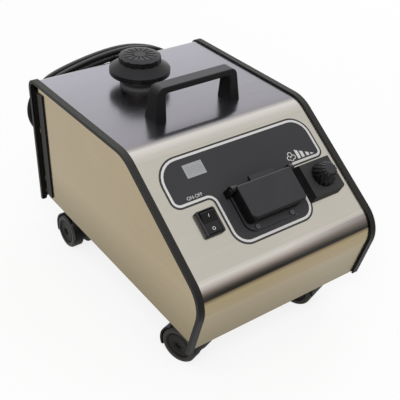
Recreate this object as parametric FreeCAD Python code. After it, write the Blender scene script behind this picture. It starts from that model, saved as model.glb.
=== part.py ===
"""Jewelry steam cleaner: folded steel case on castors, boiler, controls, filler cap and hung mains lead."""
import FreeCAD, Part
import math
import os

V = FreeCAD.Vector
X_AXIS = V(1, 0, 0)
Y_AXIS = V(0, 1, 0)
Z_AXIS = V(0, 0, 1)

# Case, as a side profile in Y and Z over the edge trims
CASE_WIDE = 290.0
FRONT_FOOT = (-179.0, 47.0)
NOSE = (-201.5, 138.4)
BEND = (-35.2, 254.8)
REAR_TOP = (212.0, 254.8)
REAR_FOOT = (195.8, 62.0)
NOSE_R = 43.0
BEND_R = 55.0
REAR_R = 15.0
SHEET = 1.2
COVER_LIFT = 3.6
TRIM_LIP = 2.7
TRIM_WALL = 1.2
TRIM_WEB = 1.8
TRIM_WIDE = 8.8
TOUCH_GAP = 0.15
CUT_OVER = 6.0

# Side panels, edgings and rear returns
PANEL_SIDE = 5.8
PANEL_X = CASE_WIDE / 2 - PANEL_SIDE
PANEL_FRONT_Z = 61.0
PANEL_REAR_Z = 71.6
PANEL_FLANGE = 14.0
PANEL_REAR_INSET = 17.5
PANEL_REAR_R = 8.0
EDGING_WIDE = 13.5
EDGING_FOOT_Z = 76.0
EDGING_LIP = 2.0
EDGING_WEB = 1.0
EDGING_INNER_LIP = 1.0
RETURN_DEEP = 13.0
RETURN_TOP_Z = 236.0
RETURN_FOOT_Z = 78.0
SCREW_SHANK_R = 1.9
SCREW_HEAD_R = 3.4
SCREW_HEAD_TALL = 2.0
SCREW_LONG = 8.0
CASE_SCREW_Z = (100.0, 176.0)
CASE_SCREW_INSET = 11.0

# Base tray
TRAY_Z = 70.0
TRAY_THICK = 1.5
TRAY_WALL_TALL = 9.0

# Carrying handle
HANDLE_Y = 22.0
HANDLE_FOOT_OUT = 68.0
HANDLE_TOP_OUT = 63.0
HANDLE_IN = 51.3
HANDLE_TALL = 45.5
HANDLE_BAR_TALL = 9.0
HANDLE_GAP_TALL = HANDLE_TALL - HANDLE_BAR_TALL
HANDLE_FOOT_DEEP = 28.0
HANDLE_TOP_DEEP = 19.0
HANDLE_OUT_R = 10.5
HANDLE_IN_R = 4.0
HANDLE_EDGE_R = 2.0
HANDLE_SCREW_X = 60.0
HANDLE_SCREW_R = 2.5
HANDLE_SCREW_HEAD_R = 5.0
HANDLE_SCREW_HEAD_TALL = 3.0
HANDLE_SCREW_LONG = 14.0

# Sloped panel: label, display and control board
LABEL_TOP = 22.0
LABEL_MARGINS = (27.0, 20.0)
LABEL_LEFT = LABEL_MARGINS[0] - CASE_WIDE / 2
LABEL_RIGHT = CASE_WIDE / 2 - LABEL_MARGINS[1]
WING_FOOT_LEFT = 88.0
WING_FOOT_RIGHT = 87.0
LOBE_RIGHT = 67.0
LOBE_FOOT = 158.0
LABEL_THICK = 0.4
LABEL_CORNER_R = (33.0, 28.0, 11.0, 7.0, 23.0, 23.0, 7.0, 13.0)
LCD_IN = 38.0
LCD_WIDE = 29.0
LCD_U = (LABEL_LEFT + LCD_IN, LABEL_LEFT + LCD_IN + LCD_WIDE)
LCD_S = (36.5, 55.0)
LCD_PROUD = 0.5
LCD_BODY_DEEP = 7.0
LCD_BODY_RIM = 3.0
BOARD_IN = 14.0
BOARD_WIDE = 110.0
BOARD_U = (LABEL_LEFT + BOARD_IN, LABEL_LEFT + BOARD_IN + BOARD_WIDE)
BOARD_S = (24.0, 78.0)
BOARD_THICK = 1.6
POST_R = 3.0
POST_INSET = 6.0

# On/off switch
SWITCH_IN = 35.0
SWITCH_U = LABEL_LEFT + SWITCH_IN
LOBE_OFF = 20.5
LOBE_LEFT = SWITCH_U + LOBE_OFF
SWITCH_S = 114.5
SWITCH_WIDE = 28.0
SWITCH_LONG = 34.0
SWITCH_FRAME_TALL = 5.5
SWITCH_CORNER_R = 3.0
SWITCH_EDGE_R = 1.5
SWITCH_BODY_WALL = 1.6
SWITCH_BODY_DEEP = 26.0
SWITCH_RIM_STEP = 1.0
SWITCH_FLOOR = 3.0
ROCKER_R = 14.9
ROCKER_WIDE = 20.6
ROCKER_GAP = 0.4
ROCKER_RIDGE = 5.0
ROCKER_FOOT = 6.0
ROCKER_TILT_DEG = 10.0
PIVOT_R = 1.6
RUN_GAP = 0.05

# Hose socket
SOCKET_U = 4.0
SOCKET_S = 114.5
FLANGE_S = (83.0, 146.0)
FLANGE_TALL = 3.0
FLANGE_R = 15.0
FLANGE_TOP_R = 4.0
HOUSING_WIDE = 80.0
HOUSING_WALL = 5.0
FLANGE_RIM = 5.0
FLANGE_WIDE = HOUSING_WIDE + 2 * FLANGE_RIM
HOUSING_S = (96.5, 133.0)
HOUSING_TALL = 20.6
HOUSING_R = 6.0
CAVITY_WIDE = HOUSING_WIDE - 2 * HOUSING_WALL
CAVITY_S = (100.5, 128.5)
CAVITY_R = 3.5
HOUSING_DEEP = 22.0
HOUSING_FLOOR = 3.0
COVER_REACH = 3.5
COVER_WIDE = HOUSING_WIDE + 2 * COVER_REACH
COVER_S = (89.5, 136.5)
COVER_TOP = 24.0
COVER_THICK = 2.6
COVER_SIDE = 1.8
COVER_SKIRT_FOOT = 5.5
COVER_R = 7.5
COVER_EDGE_R = 2.5
HINGE_S = 91.0
HINGE_H = 17.0
HINGE_PIN_R = 1.6
KNUCKLE_R = 4.2
KNUCKLE_LONG = 40.0
RIB_TOP_S = 83.5
LUG_THICK = 5.5
LUG_R = 5.0
LUG_GAP = 0.5
SPRING_WIRE_R = 0.45
SPRING_TURN_R = 2.5
SPRING_PITCH = 1.3
SPRING_TURNS = 9
SPRING_GAP = 1.5
SOCKET_SCREW_U = (-26.7, 28.9)
SOCKET_SCREW_S = (87.0, 141.4)
SOCKET_SCREW_HEAD_R = 3.0
SOCKET_SCREW_R = 1.7
SOCKET_SCREW_LONG = 10.0
INSERT_WIDE = 56.0
INSERT_LONG = 26.0
INSERT_TOP = 2.0
INSERT_R = 3.0
OUTLET_R = 4.0
OUTLET_BOSS_R = 7.0
OUTLET_TOP = 8.0
OUTLET_CHANNEL_R = 1.6
OUTLET_TAIL_R = 5.0
OUTLET_TAIL_LONG = 9.0
CONTACT_U = (-22.0, -15.0, 15.0, 22.0)
CONTACT_R = 2.0
CONTACT_DEEP = 12.0

# Steam regulator
BLOCK_MARGINS = (16.5, 22.5)
BLOCK_U = (SOCKET_U + FLANGE_WIDE / 2 + BLOCK_MARGINS[0], CASE_WIDE / 2 - BLOCK_MARGINS[1])
BLOCK_S = (88.4, 140.5)
BLOCK_TALL = 12.0
BLOCK_TAPER = 3.0
BLOCK_CUT = 9.0
BLOCK_TOP_CUT = 2.0
KNOB_OFF = 1.0
KNOB_U = sum(BLOCK_U) / 2 + KNOB_OFF
KNOB_S = 113.8
KNOB_GAP = 0.4
KNOB_TALL = 20.0
KNOB_R = 17.0
KNOB_RIBS = 15
KNOB_RIB_DEEP = 1.3
KNOB_SWIRL_DEG = 38.0
KNOB_HEIGHT_SHARES = (0.0, 0.12, 0.4, 0.68, 0.88, 1.0)
KNOB_RADIUS_SHARES = (0.97, 1.0, 0.93, 0.8, 0.66, 0.5)
SPINDLE_R = 3.0
SPINDLE_IN_KNOB = 14.0
SPINDLE_DEEP = 22.0
VALVE_R = 10.0
VALVE_DEEP = 44.0
VALVE_COLLAR_R = 14.0
VALVE_COLLAR_TALL = 4.0
VALVE_CAVITY_TALL = 6.0
VALVE_CHANNEL_R = 1.6
VALVE_PORT_UP = 10.0

# Filler neck and cap
CAP_X = -21.0
CAP_Y = 118.0
COLLAR_R = 27.5
COLLAR_TALL = 5.0
COLLAR_BEVEL = 1.0
NECK_R = 18.0
NECK_BORE_R = 15.5
NECK_TALL = 24.0
PLUG_R = 15.1
PLUG_DEEP = 22.0
PLUG_HOLLOW_R = 9.0
PLUG_HOLLOW_DEEP = 16.0
GASKET_TALL = 2.0
CAP_HEAD_TALL = 4.0
CAP_BOSS_R = 8.0
CAP_BOSS_TALL = 9.0
SKIRT_R = 42.0
SKIRT_FOOT = 18.0
SKIRT_RIM_TOP = 24.5
SKIRT_TOP = 34.5
SKIRT_TOP_R = 28.0
SKIRT_WALL = 2.6
SKIRT_ROOF = 2.8
GRIP_R = 29.0
GRIP_EDGE = 41.6
GRIP_TOP = 44.0
GRIP_TOP_R = 20.5
GRIP_GROOVES = 14
GRIP_GROOVE_R = 1.1
GRIP_GROOVE_IN = 8.0
GRIP_FLUTE_R = 5.0
GRIP_FLUTE_DEEP = 0.8
GRIP_BORE_TALL = 5.0

# Boiler and steam parts
BOILER_X = (-105.0, 75.0)
BOILER_Z = 148.0
BOILER_R = 65.0
BOILER_WALL = 2.0
BOILER_END_R = 20.0
NECK_IN_BOILER = 4.0
CRADLE_X = (-75.0, 45.0)
CRADLE_THICK = 4.0
CRADLE_DEEP = 96.0
CRADLE_HOLD = 29.0
CRADLE_TOP_Z = BOILER_Z - BOILER_R + CRADLE_HOLD
CRADLE_FOOT_WIDE = 18.0
CRADLE_FOOT_TALL = 2.0
HEATER_DROP = 18.0
HEATER_TUBE_R = 4.2
HEATER_HALF_PITCH = 11.0
HEATER_FAR_X = -80.0
HEATER_FLANGE_R = 25.0
HEATER_FLANGE_THICK = 5.0
HEATER_HOLE_R = 19.0
HEATER_PIN_LONG = 10.0
SAFETY_X = -78.0
SAFETY_R = 7.0
SAFETY_HEX_R = 9.5
SAFETY_HEX_TALL = 7.0
SAFETY_TALL = 24.0
PRESSURE_X = 18.0
PRESSURE_R = 13.0
PRESSURE_STEM_R = 5.0
PRESSURE_STEM_TALL = 7.0
PRESSURE_TALL = 16.0
SPADE = (6.3, 0.8, 8.0)
BOSS_SINK = 3.0
SOLENOID = (95.0, -20.0)
SOLENOID_BLOCK = 28.0
SOLENOID_BLOCK_TALL = 24.0
SOLENOID_FOOT = 40.0
SOLENOID_FOOT_TALL = 3.0
SOLENOID_COIL_R = 17.0
SOLENOID_COIL_TALL = 34.0
SOLENOID_PORT_Z = 86.0
PIPE_R = 3.0
PIPE_BEND_R = 12.0
PIPE_SINK = 1.0
PIPE_X = 50.0
PIPE_RISE = 19.0
PIPE_TOP_Z = BOILER_Z + BOILER_R + PIPE_RISE
PIPE_FRONT_Y = 38.0
PIPE_DROP_Y = 22.0
PIPE_OUT_RUN = 28.0
PIPE_VALVE_RUN = 36.0
CROSS_RUN = 24.0
CROSS_DEEP = 14.0
CROSS_END_RUN = 20.0
TERMINAL_SIDE = 50.0
TERMINAL = (TERMINAL_SIDE - CASE_WIDE / 2, -40.0)
TERMINAL_SIZE = (46.0, 24.0, 20.0)
TERMINAL_BUMPS = 3

# Mains lead on the rear wall
CORD_R = 4.1
GLAND_SIDE = 23.0
GLAND_X = CASE_WIDE / 2 - GLAND_SIDE
GLAND_UP = 29.0
GLAND_NUT_R = 12.0
GLAND_NUT_TALL = 7.0
GLAND_DOME_R = 9.5
GLAND_DOME_TALL = 12.0
GLAND_MOUTH_R = 6.0
GLAND_THREAD_R = 8.0
GLAND_LOCK_TALL = 4.0
HOOK_X = 8.0
HOOK_WIDE = 24.0
HOOK_PLATE_TALL = 40.0
HOOK_PLATE_THICK = 3.0
HOOK_ARM_TALL = 5.0
HOOK_TIP_Y = 241.0
HOOK_TIP_THICK = 4.0
HOOK_TIP_TALL = 14.0
HOOK_PLATE_UNDER = 24.0
HOOK_DROP = 0.7
COIL_LEFT = (-140.0, 192.0)
COIL_TOP = (8.0, 261.5)
COIL_RIGHT = (124.0, 186.0)
COIL_FOOT = (-18.0, 124.0)
COIL_Y = (228.0, 219.0)
COIL_STEP = 9.0
COIL_TURNS_IN = 2
COIL_END_R = 41.0
BEND_SHARE = 0.45
TAIL_POINTS = (
    (122.0, 245.1, 86.8),
    (106.1, 270.8, 95.6),
    (80.1, 279.7, 111.3),
    (55.1, 268.1, 125.7),
    (37.6, 240.6, 128.8),
    (15.0, 228.0, 124.0),
)
END_POINTS = (
    (-62.0, 219.0, 124.0),
    (-90.0, 220.0, 98.0),
)
PLUG_TOP = (-92.0, 221.0, 66.0)
PLUG_BODY_R = 18.5
PLUG_FACE_TALL = 20.0
PLUG_NECK_R = 7.5
PLUG_NECK_TALL = 13.0
PLUG_PIN_R = 2.4
PLUG_PIN_LONG = 19.0
PLUG_ROOT_R = 1.8
PLUG_ROOT_LONG = 6.0
PLUG_PIN_PITCH = 19.0

# Castors
CASTOR_PLACES = {
    "front_left": (-104.5, -151.5),
    "front_right": (92.0, -151.5),
    "rear_left": (-110.0, 127.0),
    "rear_right": (110.0, 127.0),
}
CASTOR_TURN_DEG = {"front_left": 18.0, "front_right": 18.0, "rear_left": 0.0, "rear_right": -15.0}
CASTOR_TRAIL = 18.0
WHEEL_R = 25.0
WHEEL_WIDE = 17.0
WHEEL_RECESS_R = 18.5
WHEEL_RECESS_DEEP = 1.5
WHEEL_BEVEL = 2.0
WEB_HALF = 4.5
WEB_GAP = 0.5
HOOD_GAP = 1.0
HOOD_WALL = 2.5
AXLE_R = 4.0
AXLE_SHORT = 2.5
BOSS_R = 9.0
STEM_R = 5.0
STEM_FOOT_Z = 48.0
STEM_FLANGE_R = 15.0
STEM_FLANGE_THICK = 2.5
STEM_NUT_R = 8.5
STEM_NUT_TALL = 6.0
SWIVEL_GAP = 0.5
HOOD_REAR_FOOT_Z = 14.0
HOOD_FRONT_FOOT_Z = 27.0
HOOD_TOP_Z = 46.6
HOOD_CROWN_R = 19.0

STEEL_IN = TRIM_LIP + SHEET
TRIM_IN = STEEL_IN + TRIM_WALL
PANEL_INSET = TRIM_IN + TOUCH_GAP
PANEL_IN_X = PANEL_X - SHEET
STEEL_TOP = BEND[1] - TRIM_LIP
TRAY_TOP = TRAY_Z + TRAY_THICK
SHEET_X = CASE_WIDE / 2 - TRIM_WEB


# Paths, faces and solids
def joint(before, point, after, radius):
    to_before = (before - point).normalize()
    to_after = (after - point).normalize()
    half = (math.pi - to_before.getAngle(to_after)) / 2
    reach = radius * math.tan(half)
    middle = (to_before + to_after).normalize() * (radius / math.cos(half) - radius)
    return point + to_before * reach, point + middle, point + to_after * reach


def rounded_edges(points, radii, closed):
    corners = []
    last = len(points) - 1
    for i, point in enumerate(points):
        if radii[i] > 0 and (closed or 0 < i < last):
            after = points[(i + 1) % len(points)]
            corners.append(joint(points[i - 1], point, after, radii[i]))
        else:
            corners.append((point, None, point))
    edges = []
    for i, corner in enumerate(corners):
        if i > 0 or closed:
            edges.append(Part.LineSegment(corners[i - 1][2], corner[0]).toShape())
        if corner[1] is not None:
            edges.append(Part.Arc(*corner).toShape())
    if closed:
        edges = edges[1:] + edges[:1]
    return edges


def face_of(points, radii):
    return Part.Face(Part.Wire(rounded_edges(points, radii, True)))


def box(x, y, z):
    return Part.makeBox(x[1] - x[0], y[1] - y[0], z[1] - z[0], V(x[0], y[0], z[0]))


def disc(radius, z0, z1, x=0, y=0):
    return Part.makeCylinder(radius, z1 - z0, V(x, y, z0), Z_AXIS)


def across(radius, x0, x1, y=0, z=0):
    return Part.makeCylinder(radius, x1 - x0, V(x0, y, z), X_AXIS)


def turned_form(points, x=0, y=0):
    outline = [V(r, 0, z) for r, z in points]
    face = Part.Face(Part.makePolygon(outline + outline[:1]))
    form = face.revolve(V(), Z_AXIS, 360)
    form.translate(V(x, y, 0))
    return form


def hexagon(radius, z0, z1, x, y):
    corners = [i * math.pi / 3 for i in range(6)]
    points = [V(x + radius * math.cos(a), y + radius * math.sin(a), z0) for a in corners]
    return Part.Face(Part.makePolygon(points + points[:1])).extrude(V(0, 0, z1 - z0))


def tube(points, bend_radii, radius):
    edges = rounded_edges(points, bend_radii, False)
    return sweep(edges, radius)


def sweep(edges, radius):
    wire = Part.Wire(edges)
    start = wire.OrderedVertexes[0].Point
    heading = edges[0].tangentAt(edges[0].FirstParameter)
    ring = Part.Wire(Part.makeCircle(radius, start, heading))
    return wire.makePipeShell([ring], True, False)


def fuse(shapes):
    whole = shapes[0]
    for shape in shapes[1:]:
        whole = whole.fuse(shape)
    return whole.removeSplitter()


def cut(shape, tools):
    for tool in tools:
        shape = shape.cut(tool)
    return shape


def mirrored(shape):
    return shape.mirror(V(), X_AXIS)


# Side profile of the case, moved in from its outside
def moved_line(a, b, inset):
    length = math.hypot(b[0] - a[0], b[1] - a[1])
    inward = ((b[1] - a[1]) / length, -(b[0] - a[0]) / length)
    return (a[0] + inward[0] * inset, a[1] + inward[1] * inset), (b[0] - a[0], b[1] - a[1])


def meet(first, second):
    (p, d), (q, e) = first, second
    share = ((q[0] - p[0]) * e[1] - (q[1] - p[1]) * e[0]) / (d[0] * e[1] - d[1] * e[0])
    return p[0] + d[0] * share, p[1] + d[1] * share


def profile(insets, front_z, rear_z):
    corners = (FRONT_FOOT, NOSE, BEND, REAR_TOP, REAR_FOOT)
    lines = [moved_line(corners[i], corners[i + 1], insets[i]) for i in range(4)]
    front_floor = ((0, front_z), (1, 0))
    rear_floor = ((0, rear_z), (1, 0))
    points = [meet(lines[0], front_floor)]
    points += [meet(lines[i], lines[i + 1]) for i in range(3)]
    points.append(meet(lines[3], rear_floor))
    return points


def profile_edges(insets, front_z, rear_z, rear_r, x):
    points = [V(x, y, z) for y, z in profile(insets, front_z, rear_z)]
    radii = (0, NOSE_R - insets[1], BEND_R - insets[1], rear_r, 0)
    return points, rounded_edges(points, radii, False)


def band(outer, inner, x0, x1, front_z, rear_z):
    out_points, out_edges = profile_edges((outer,) * 4, front_z, rear_z, REAR_R - outer, x0)
    in_points, in_edges = profile_edges((inner,) * 4, front_z, rear_z, REAR_R - inner, x0)
    ends = [
        Part.LineSegment(out_points[0], in_points[0]).toShape(),
        Part.LineSegment(out_points[-1], in_points[-1]).toShape(),
    ]
    wire = Part.Wire(Part.__sortEdges__(out_edges + in_edges + ends))
    return Part.Face(wire).extrude(V(x1 - x0, 0, 0))


def panel_blank(insets, x0, x1, drop=0):
    front_z, rear_z = PANEL_FRONT_Z - drop, PANEL_REAR_Z - drop
    points, edges = profile_edges(insets, front_z, rear_z, PANEL_REAR_R, x0)
    edges.append(Part.LineSegment(points[-1], points[0]).toShape())
    return Part.Face(Part.Wire(Part.__sortEdges__(edges))).extrude(V(x1 - x0, 0, 0))


def rear_y(z, inset):
    return meet(moved_line(REAR_TOP, REAR_FOOT, inset), ((0, z), (1, 0)))[0]


def front_y(z, inset):
    return meet(moved_line(FRONT_FOOT, NOSE, inset), ((0, z), (1, 0)))[0]


# Sloped panel frame: u across, s down the slope, h out of the steel
SLOPE_DEG = math.degrees(math.atan2(BEND[1] - NOSE[1], BEND[0] - NOSE[0]))
PANEL_ORIGIN = V(0, *moved_line(NOSE, BEND, TRIM_LIP)[0]) + V(0, BEND[0] - NOSE[0], BEND[1] - NOSE[1])
PANEL_PLACE = FreeCAD.Placement(PANEL_ORIGIN, FreeCAD.Rotation(X_AXIS, SLOPE_DEG))


def on_panel(shape):
    placed = shape.copy()
    placed.Placement = PANEL_PLACE.multiply(placed.Placement)
    return placed


def panel_point(u, s, h):
    return PANEL_PLACE.multVec(V(u, -s, h))


def panel_box(u, s, h):
    return box(u, (-s[1], -s[0]), h)


def plate(u, s, h, radii):
    points = [V(u[0], -s[0], h[0]), V(u[1], -s[0], h[0]), V(u[1], -s[1], h[0]), V(u[0], -s[1], h[0])]
    return face_of(points, radii).extrude(V(0, 0, h[1] - h[0]))


def span(middle, size):
    return middle - size / 2, middle + size / 2


# Rear wall frame: up the wall and out of its steel
REAR_LEAN_DEG = math.degrees(math.atan2(REAR_TOP[0] - REAR_FOOT[0], REAR_TOP[1] - REAR_FOOT[1]))


def on_rear(shape, x, up):
    z = REAR_FOOT[1] + up
    lean = FreeCAD.Rotation(X_AXIS, -90 - REAR_LEAN_DEG)
    placed = shape.copy()
    placed.Placement = FreeCAD.Placement(V(x, rear_y(z, TRIM_LIP), z), lean).multiply(placed.Placement)
    return placed


# Case
def cover_shell():
    foot = FRONT_FOOT[1] + COVER_LIFT
    rear = REAR_FOOT[1] + COVER_LIFT
    shell = band(TRIM_LIP, STEEL_IN, -SHEET_X, SHEET_X, foot, rear)
    for side in (-1, 1):
        x = sorted((side * PANEL_IN_X, side * (PANEL_IN_X - SHEET)))
        strip = rear_strip(x, STEEL_IN - SHEET / 2, RETURN_DEEP)
        shell = shell.fuse(strip)
    holes = [on_panel(panel_box(LCD_U, LCD_S, (-CUT_OVER, CUT_OVER)))]
    switch = switch_outline(SWITCH_RIM_STEP - TOUCH_GAP, (-CUT_OVER, CUT_OVER))
    holes.append(on_panel(switch))
    holes.append(on_panel(disc(SPINDLE_R + TOUCH_GAP, -CUT_OVER, CUT_OVER, KNOB_U, -KNOB_S)))
    socket_u = span(SOCKET_U, HOUSING_WIDE + TOUCH_GAP)
    socket_s = (HOUSING_S[0] - TOUCH_GAP, HOUSING_S[1] + TOUCH_GAP)
    holes.append(on_panel(plate(socket_u, socket_s, (-CUT_OVER, CUT_OVER), (HOUSING_R,) * 4)))
    for u in SOCKET_SCREW_U:
        for s in SOCKET_SCREW_S:
            holes.append(on_panel(disc(SOCKET_SCREW_R, -CUT_OVER, CUT_OVER, u, -s)))
    holes.append(disc(NECK_R + TOUCH_GAP, STEEL_TOP - CUT_OVER, STEEL_TOP + CUT_OVER, CAP_X, CAP_Y))
    for side in (-1, 1):
        at = side * HANDLE_SCREW_X
        holes.append(disc(HANDLE_SCREW_R, STEEL_TOP - CUT_OVER, STEEL_TOP + CUT_OVER, at, HANDLE_Y))
    holes.append(on_rear(disc(GLAND_THREAD_R, -CUT_OVER, CUT_OVER), GLAND_X, GLAND_UP))
    for side, z in case_screw_places():
        y = rear_y(z, CASE_SCREW_INSET)
        hole = across(SCREW_SHANK_R, PANEL_IN_X - CUT_OVER, PANEL_IN_X + CUT_OVER, y, z)
        holes.append(hole if side > 0 else mirrored(hole))
    return cut(shell, holes)


def rear_strip(x, inset, deep):
    low, high = RETURN_FOOT_Z, RETURN_TOP_Z
    points = [
        V(x[0], rear_y(low, inset), low),
        V(x[0], rear_y(high, inset), high),
        V(x[0], rear_y(high, inset + deep), high),
        V(x[0], rear_y(low, inset + deep), low),
    ]
    return face_of(points, (0,) * 4).extrude(V(x[1] - x[0], 0, 0))


def case_screw_places():
    return [(side, z) for side in (-1, 1) for z in CASE_SCREW_Z]


def case_screws():
    screws = []
    for side, z in case_screw_places():
        y = rear_y(z, CASE_SCREW_INSET)
        shank = across(SCREW_SHANK_R, PANEL_IN_X - SCREW_LONG, PANEL_IN_X + SCREW_HEAD_TALL, y, z)
        head = across(SCREW_HEAD_R, PANEL_IN_X, PANEL_IN_X + SCREW_HEAD_TALL, y, z)
        screw = shank.fuse(head)
        screws.append(screw if side > 0 else mirrored(screw))
    return screws


def edge_trim():
    half = CASE_WIDE / 2
    low, rear = FRONT_FOOT[1], REAR_FOOT[1]
    web = band(0, TRIM_IN, SHEET_X, half, low, rear)
    lip = band(0, TRIM_LIP, half - TRIM_WIDE, SHEET_X, low, rear)
    inner = band(STEEL_IN, TRIM_IN, PANEL_IN_X + TOUCH_GAP, SHEET_X, low, rear)
    return fuse([web, lip, inner])


def side_panel():
    insets = (PANEL_INSET,) * 3 + (PANEL_REAR_INSET,)
    skin = panel_blank(insets, PANEL_IN_X, PANEL_X)
    inner = tuple(inset + SHEET for inset in insets)
    rim = panel_blank(insets, PANEL_IN_X - PANEL_FLANGE, PANEL_IN_X)
    inside = panel_blank(inner, PANEL_IN_X - PANEL_FLANGE - CUT_OVER, PANEL_IN_X + CUT_OVER, CUT_OVER)
    rim = rim.cut(inside)
    clear = rear_y(PANEL_REAR_Z, PANEL_REAR_INSET + EDGING_WIDE) - CUT_OVER
    beyond = (clear, REAR_TOP[0])
    rim = rim.cut(box((0, CASE_WIDE), beyond, (0, BEND[1])))
    return skin.fuse(rim).removeSplitter()


def rear_edging():
    foot, top = EDGING_FOOT_Z, RETURN_TOP_Z
    web_inset = PANEL_REAR_INSET - EDGING_WEB
    layers = (
        (PANEL_X, PANEL_X + EDGING_LIP, web_inset, EDGING_WIDE),
        (PANEL_IN_X - EDGING_INNER_LIP, PANEL_IN_X, web_inset, EDGING_WIDE),
        (PANEL_IN_X, PANEL_X, web_inset, EDGING_WEB),
    )
    parts = []
    for x0, x1, inset, deep in layers:
        points = [
            V(x0, rear_y(foot, inset), foot),
            V(x0, rear_y(top, inset), top),
            V(x0, rear_y(top, inset + deep), top),
            V(x0, rear_y(foot, inset + deep), foot),
        ]
        parts.append(face_of(points, (0,) * 4).extrude(V(x1 - x0, 0, 0)))
    return fuse(parts)


def base_tray():
    inset = PANEL_INSET + SHEET + TOUCH_GAP
    half = PANEL_IN_X - SHEET - EDGING_INNER_LIP - TOUCH_GAP
    y = (front_y(TRAY_Z, inset), rear_y(TRAY_Z, inset))
    tray = box((-half, half), y, (TRAY_Z, TRAY_Z + TRAY_WALL_TALL))
    inside = (y[0] + TRAY_THICK, y[1] - TRAY_THICK)
    hollow = box((TRAY_THICK - half, half - TRAY_THICK), inside, (TRAY_TOP, BEND[1]))
    holes = [disc(STEM_R, 0, BEND[1], x, y) for x, y in CASTOR_PLACES.values()]
    return cut(tray, [hollow] + holes)


def carry_handle():
    base = STEEL_TOP
    top = base + HANDLE_TALL
    gap = base + HANDLE_GAP_TALL
    outline = [
        V(-HANDLE_FOOT_OUT, 0, base),
        V(-HANDLE_TOP_OUT, 0, top),
        V(HANDLE_TOP_OUT, 0, top),
        V(HANDLE_FOOT_OUT, 0, base),
        V(HANDLE_IN, 0, base),
        V(HANDLE_IN, 0, gap),
        V(-HANDLE_IN, 0, gap),
        V(-HANDLE_IN, 0, base),
    ]
    radii = (0, HANDLE_OUT_R, HANDLE_OUT_R, 0, 0, HANDLE_IN_R, HANDLE_IN_R, 0)
    front = face_of(outline, radii).extrude(V(0, HANDLE_FOOT_DEEP, 0))
    front.translate(V(0, HANDLE_Y - HANDLE_FOOT_DEEP / 2, 0))
    foot = span(HANDLE_Y, HANDLE_FOOT_DEEP)
    bar = span(HANDLE_Y, HANDLE_TOP_DEEP)
    side = [V(0, foot[0], base), V(0, bar[0], top), V(0, bar[1], top), V(0, foot[1], base)]
    wedge = face_of(side, (0,) * 4).extrude(V(CASE_WIDE, 0, 0))
    wedge.translate(V(-CASE_WIDE / 2, 0, 0))
    handle = front.common(wedge)
    edges = [e for e in handle.Edges if e.BoundBox.ZMax > base + HANDLE_EDGE_R]
    handle = handle.makeFillet(HANDLE_EDGE_R, edges)
    holes = [
        disc(HANDLE_SCREW_R, base - CUT_OVER, base + HANDLE_SCREW_LONG, side * HANDLE_SCREW_X, HANDLE_Y)
        for side in (-1, 1)
    ]
    return cut(handle, holes)


def handle_screws():
    inside = STEEL_TOP - SHEET
    screws = []
    for side in (-1, 1):
        x = side * HANDLE_SCREW_X
        shank = disc(HANDLE_SCREW_R, inside, STEEL_TOP + HANDLE_SCREW_LONG, x, HANDLE_Y)
        head = disc(HANDLE_SCREW_HEAD_R, inside - HANDLE_SCREW_HEAD_TALL, inside, x, HANDLE_Y)
        screws.append(shank.fuse(head))
    return screws


# Sloped panel pieces
def switch_outline(inset, h):
    u = span(SWITCH_U, SWITCH_WIDE - 2 * inset)
    s = span(SWITCH_S, SWITCH_LONG - 2 * inset)
    return plate(u, s, h, (SWITCH_CORNER_R - inset,) * 4)


def panel_label():
    outline = [
        (LABEL_LEFT, LABEL_TOP),
        (LABEL_RIGHT, LABEL_TOP),
        (LABEL_RIGHT, WING_FOOT_RIGHT),
        (LOBE_RIGHT, WING_FOOT_RIGHT),
        (LOBE_RIGHT, LOBE_FOOT),
        (LOBE_LEFT, LOBE_FOOT),
        (LOBE_LEFT, WING_FOOT_LEFT),
        (LABEL_LEFT, WING_FOOT_LEFT),
    ]
    film = face_of([V(u, -s, 0) for u, s in outline], LABEL_CORNER_R).extrude(V(0, 0, LABEL_THICK))
    flange_u = span(SOCKET_U, FLANGE_WIDE + 2 * TOUCH_GAP)
    flange_s = (FLANGE_S[0] - TOUCH_GAP, FLANGE_S[1] + TOUCH_GAP)
    through = (-CUT_OVER, CUT_OVER)
    holes = [
        panel_box(LCD_U, LCD_S, through),
        plate(flange_u, flange_s, through, (FLANGE_TOP_R, FLANGE_TOP_R, FLANGE_R, FLANGE_R)),
    ]
    block_u = (BLOCK_U[0] - TOUCH_GAP, BLOCK_U[1] + TOUCH_GAP)
    holes.append(panel_box(block_u, (BLOCK_S[0] - TOUCH_GAP, BLOCK_S[1]), through))
    for side in (-1, 1):
        around = span(HINGE_S, 2 * LUG_R + 2 * TOUCH_GAP)
        holes.append(panel_box(lug_span(side, TOUCH_GAP), around, through))
    return on_panel(cut(film, holes))


def display_window():
    rim = TOUCH_GAP
    u = (LCD_U[0] + rim, LCD_U[1] - rim)
    s = (LCD_S[0] + rim, LCD_S[1] - rim)
    return on_panel(panel_box(u, s, (-SHEET, LCD_PROUD)))


def control_board():
    behind = -SHEET - LCD_BODY_DEEP
    module_u = (LCD_U[0] - LCD_BODY_RIM, LCD_U[1] + LCD_BODY_RIM)
    module_s = (LCD_S[0] - LCD_BODY_RIM, LCD_S[1] + LCD_BODY_RIM)
    parts = [
        panel_box(BOARD_U, BOARD_S, (behind - BOARD_THICK, behind)),
        panel_box(module_u, module_s, (behind, -SHEET)),
    ]
    for u in (BOARD_U[0] + POST_INSET, BOARD_U[1] - POST_INSET):
        for s in (BOARD_S[0] + POST_INSET, BOARD_S[1] - POST_INSET):
            parts.append(disc(POST_R, behind, -SHEET, u, -s))
    return on_panel(fuse(parts))


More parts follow.
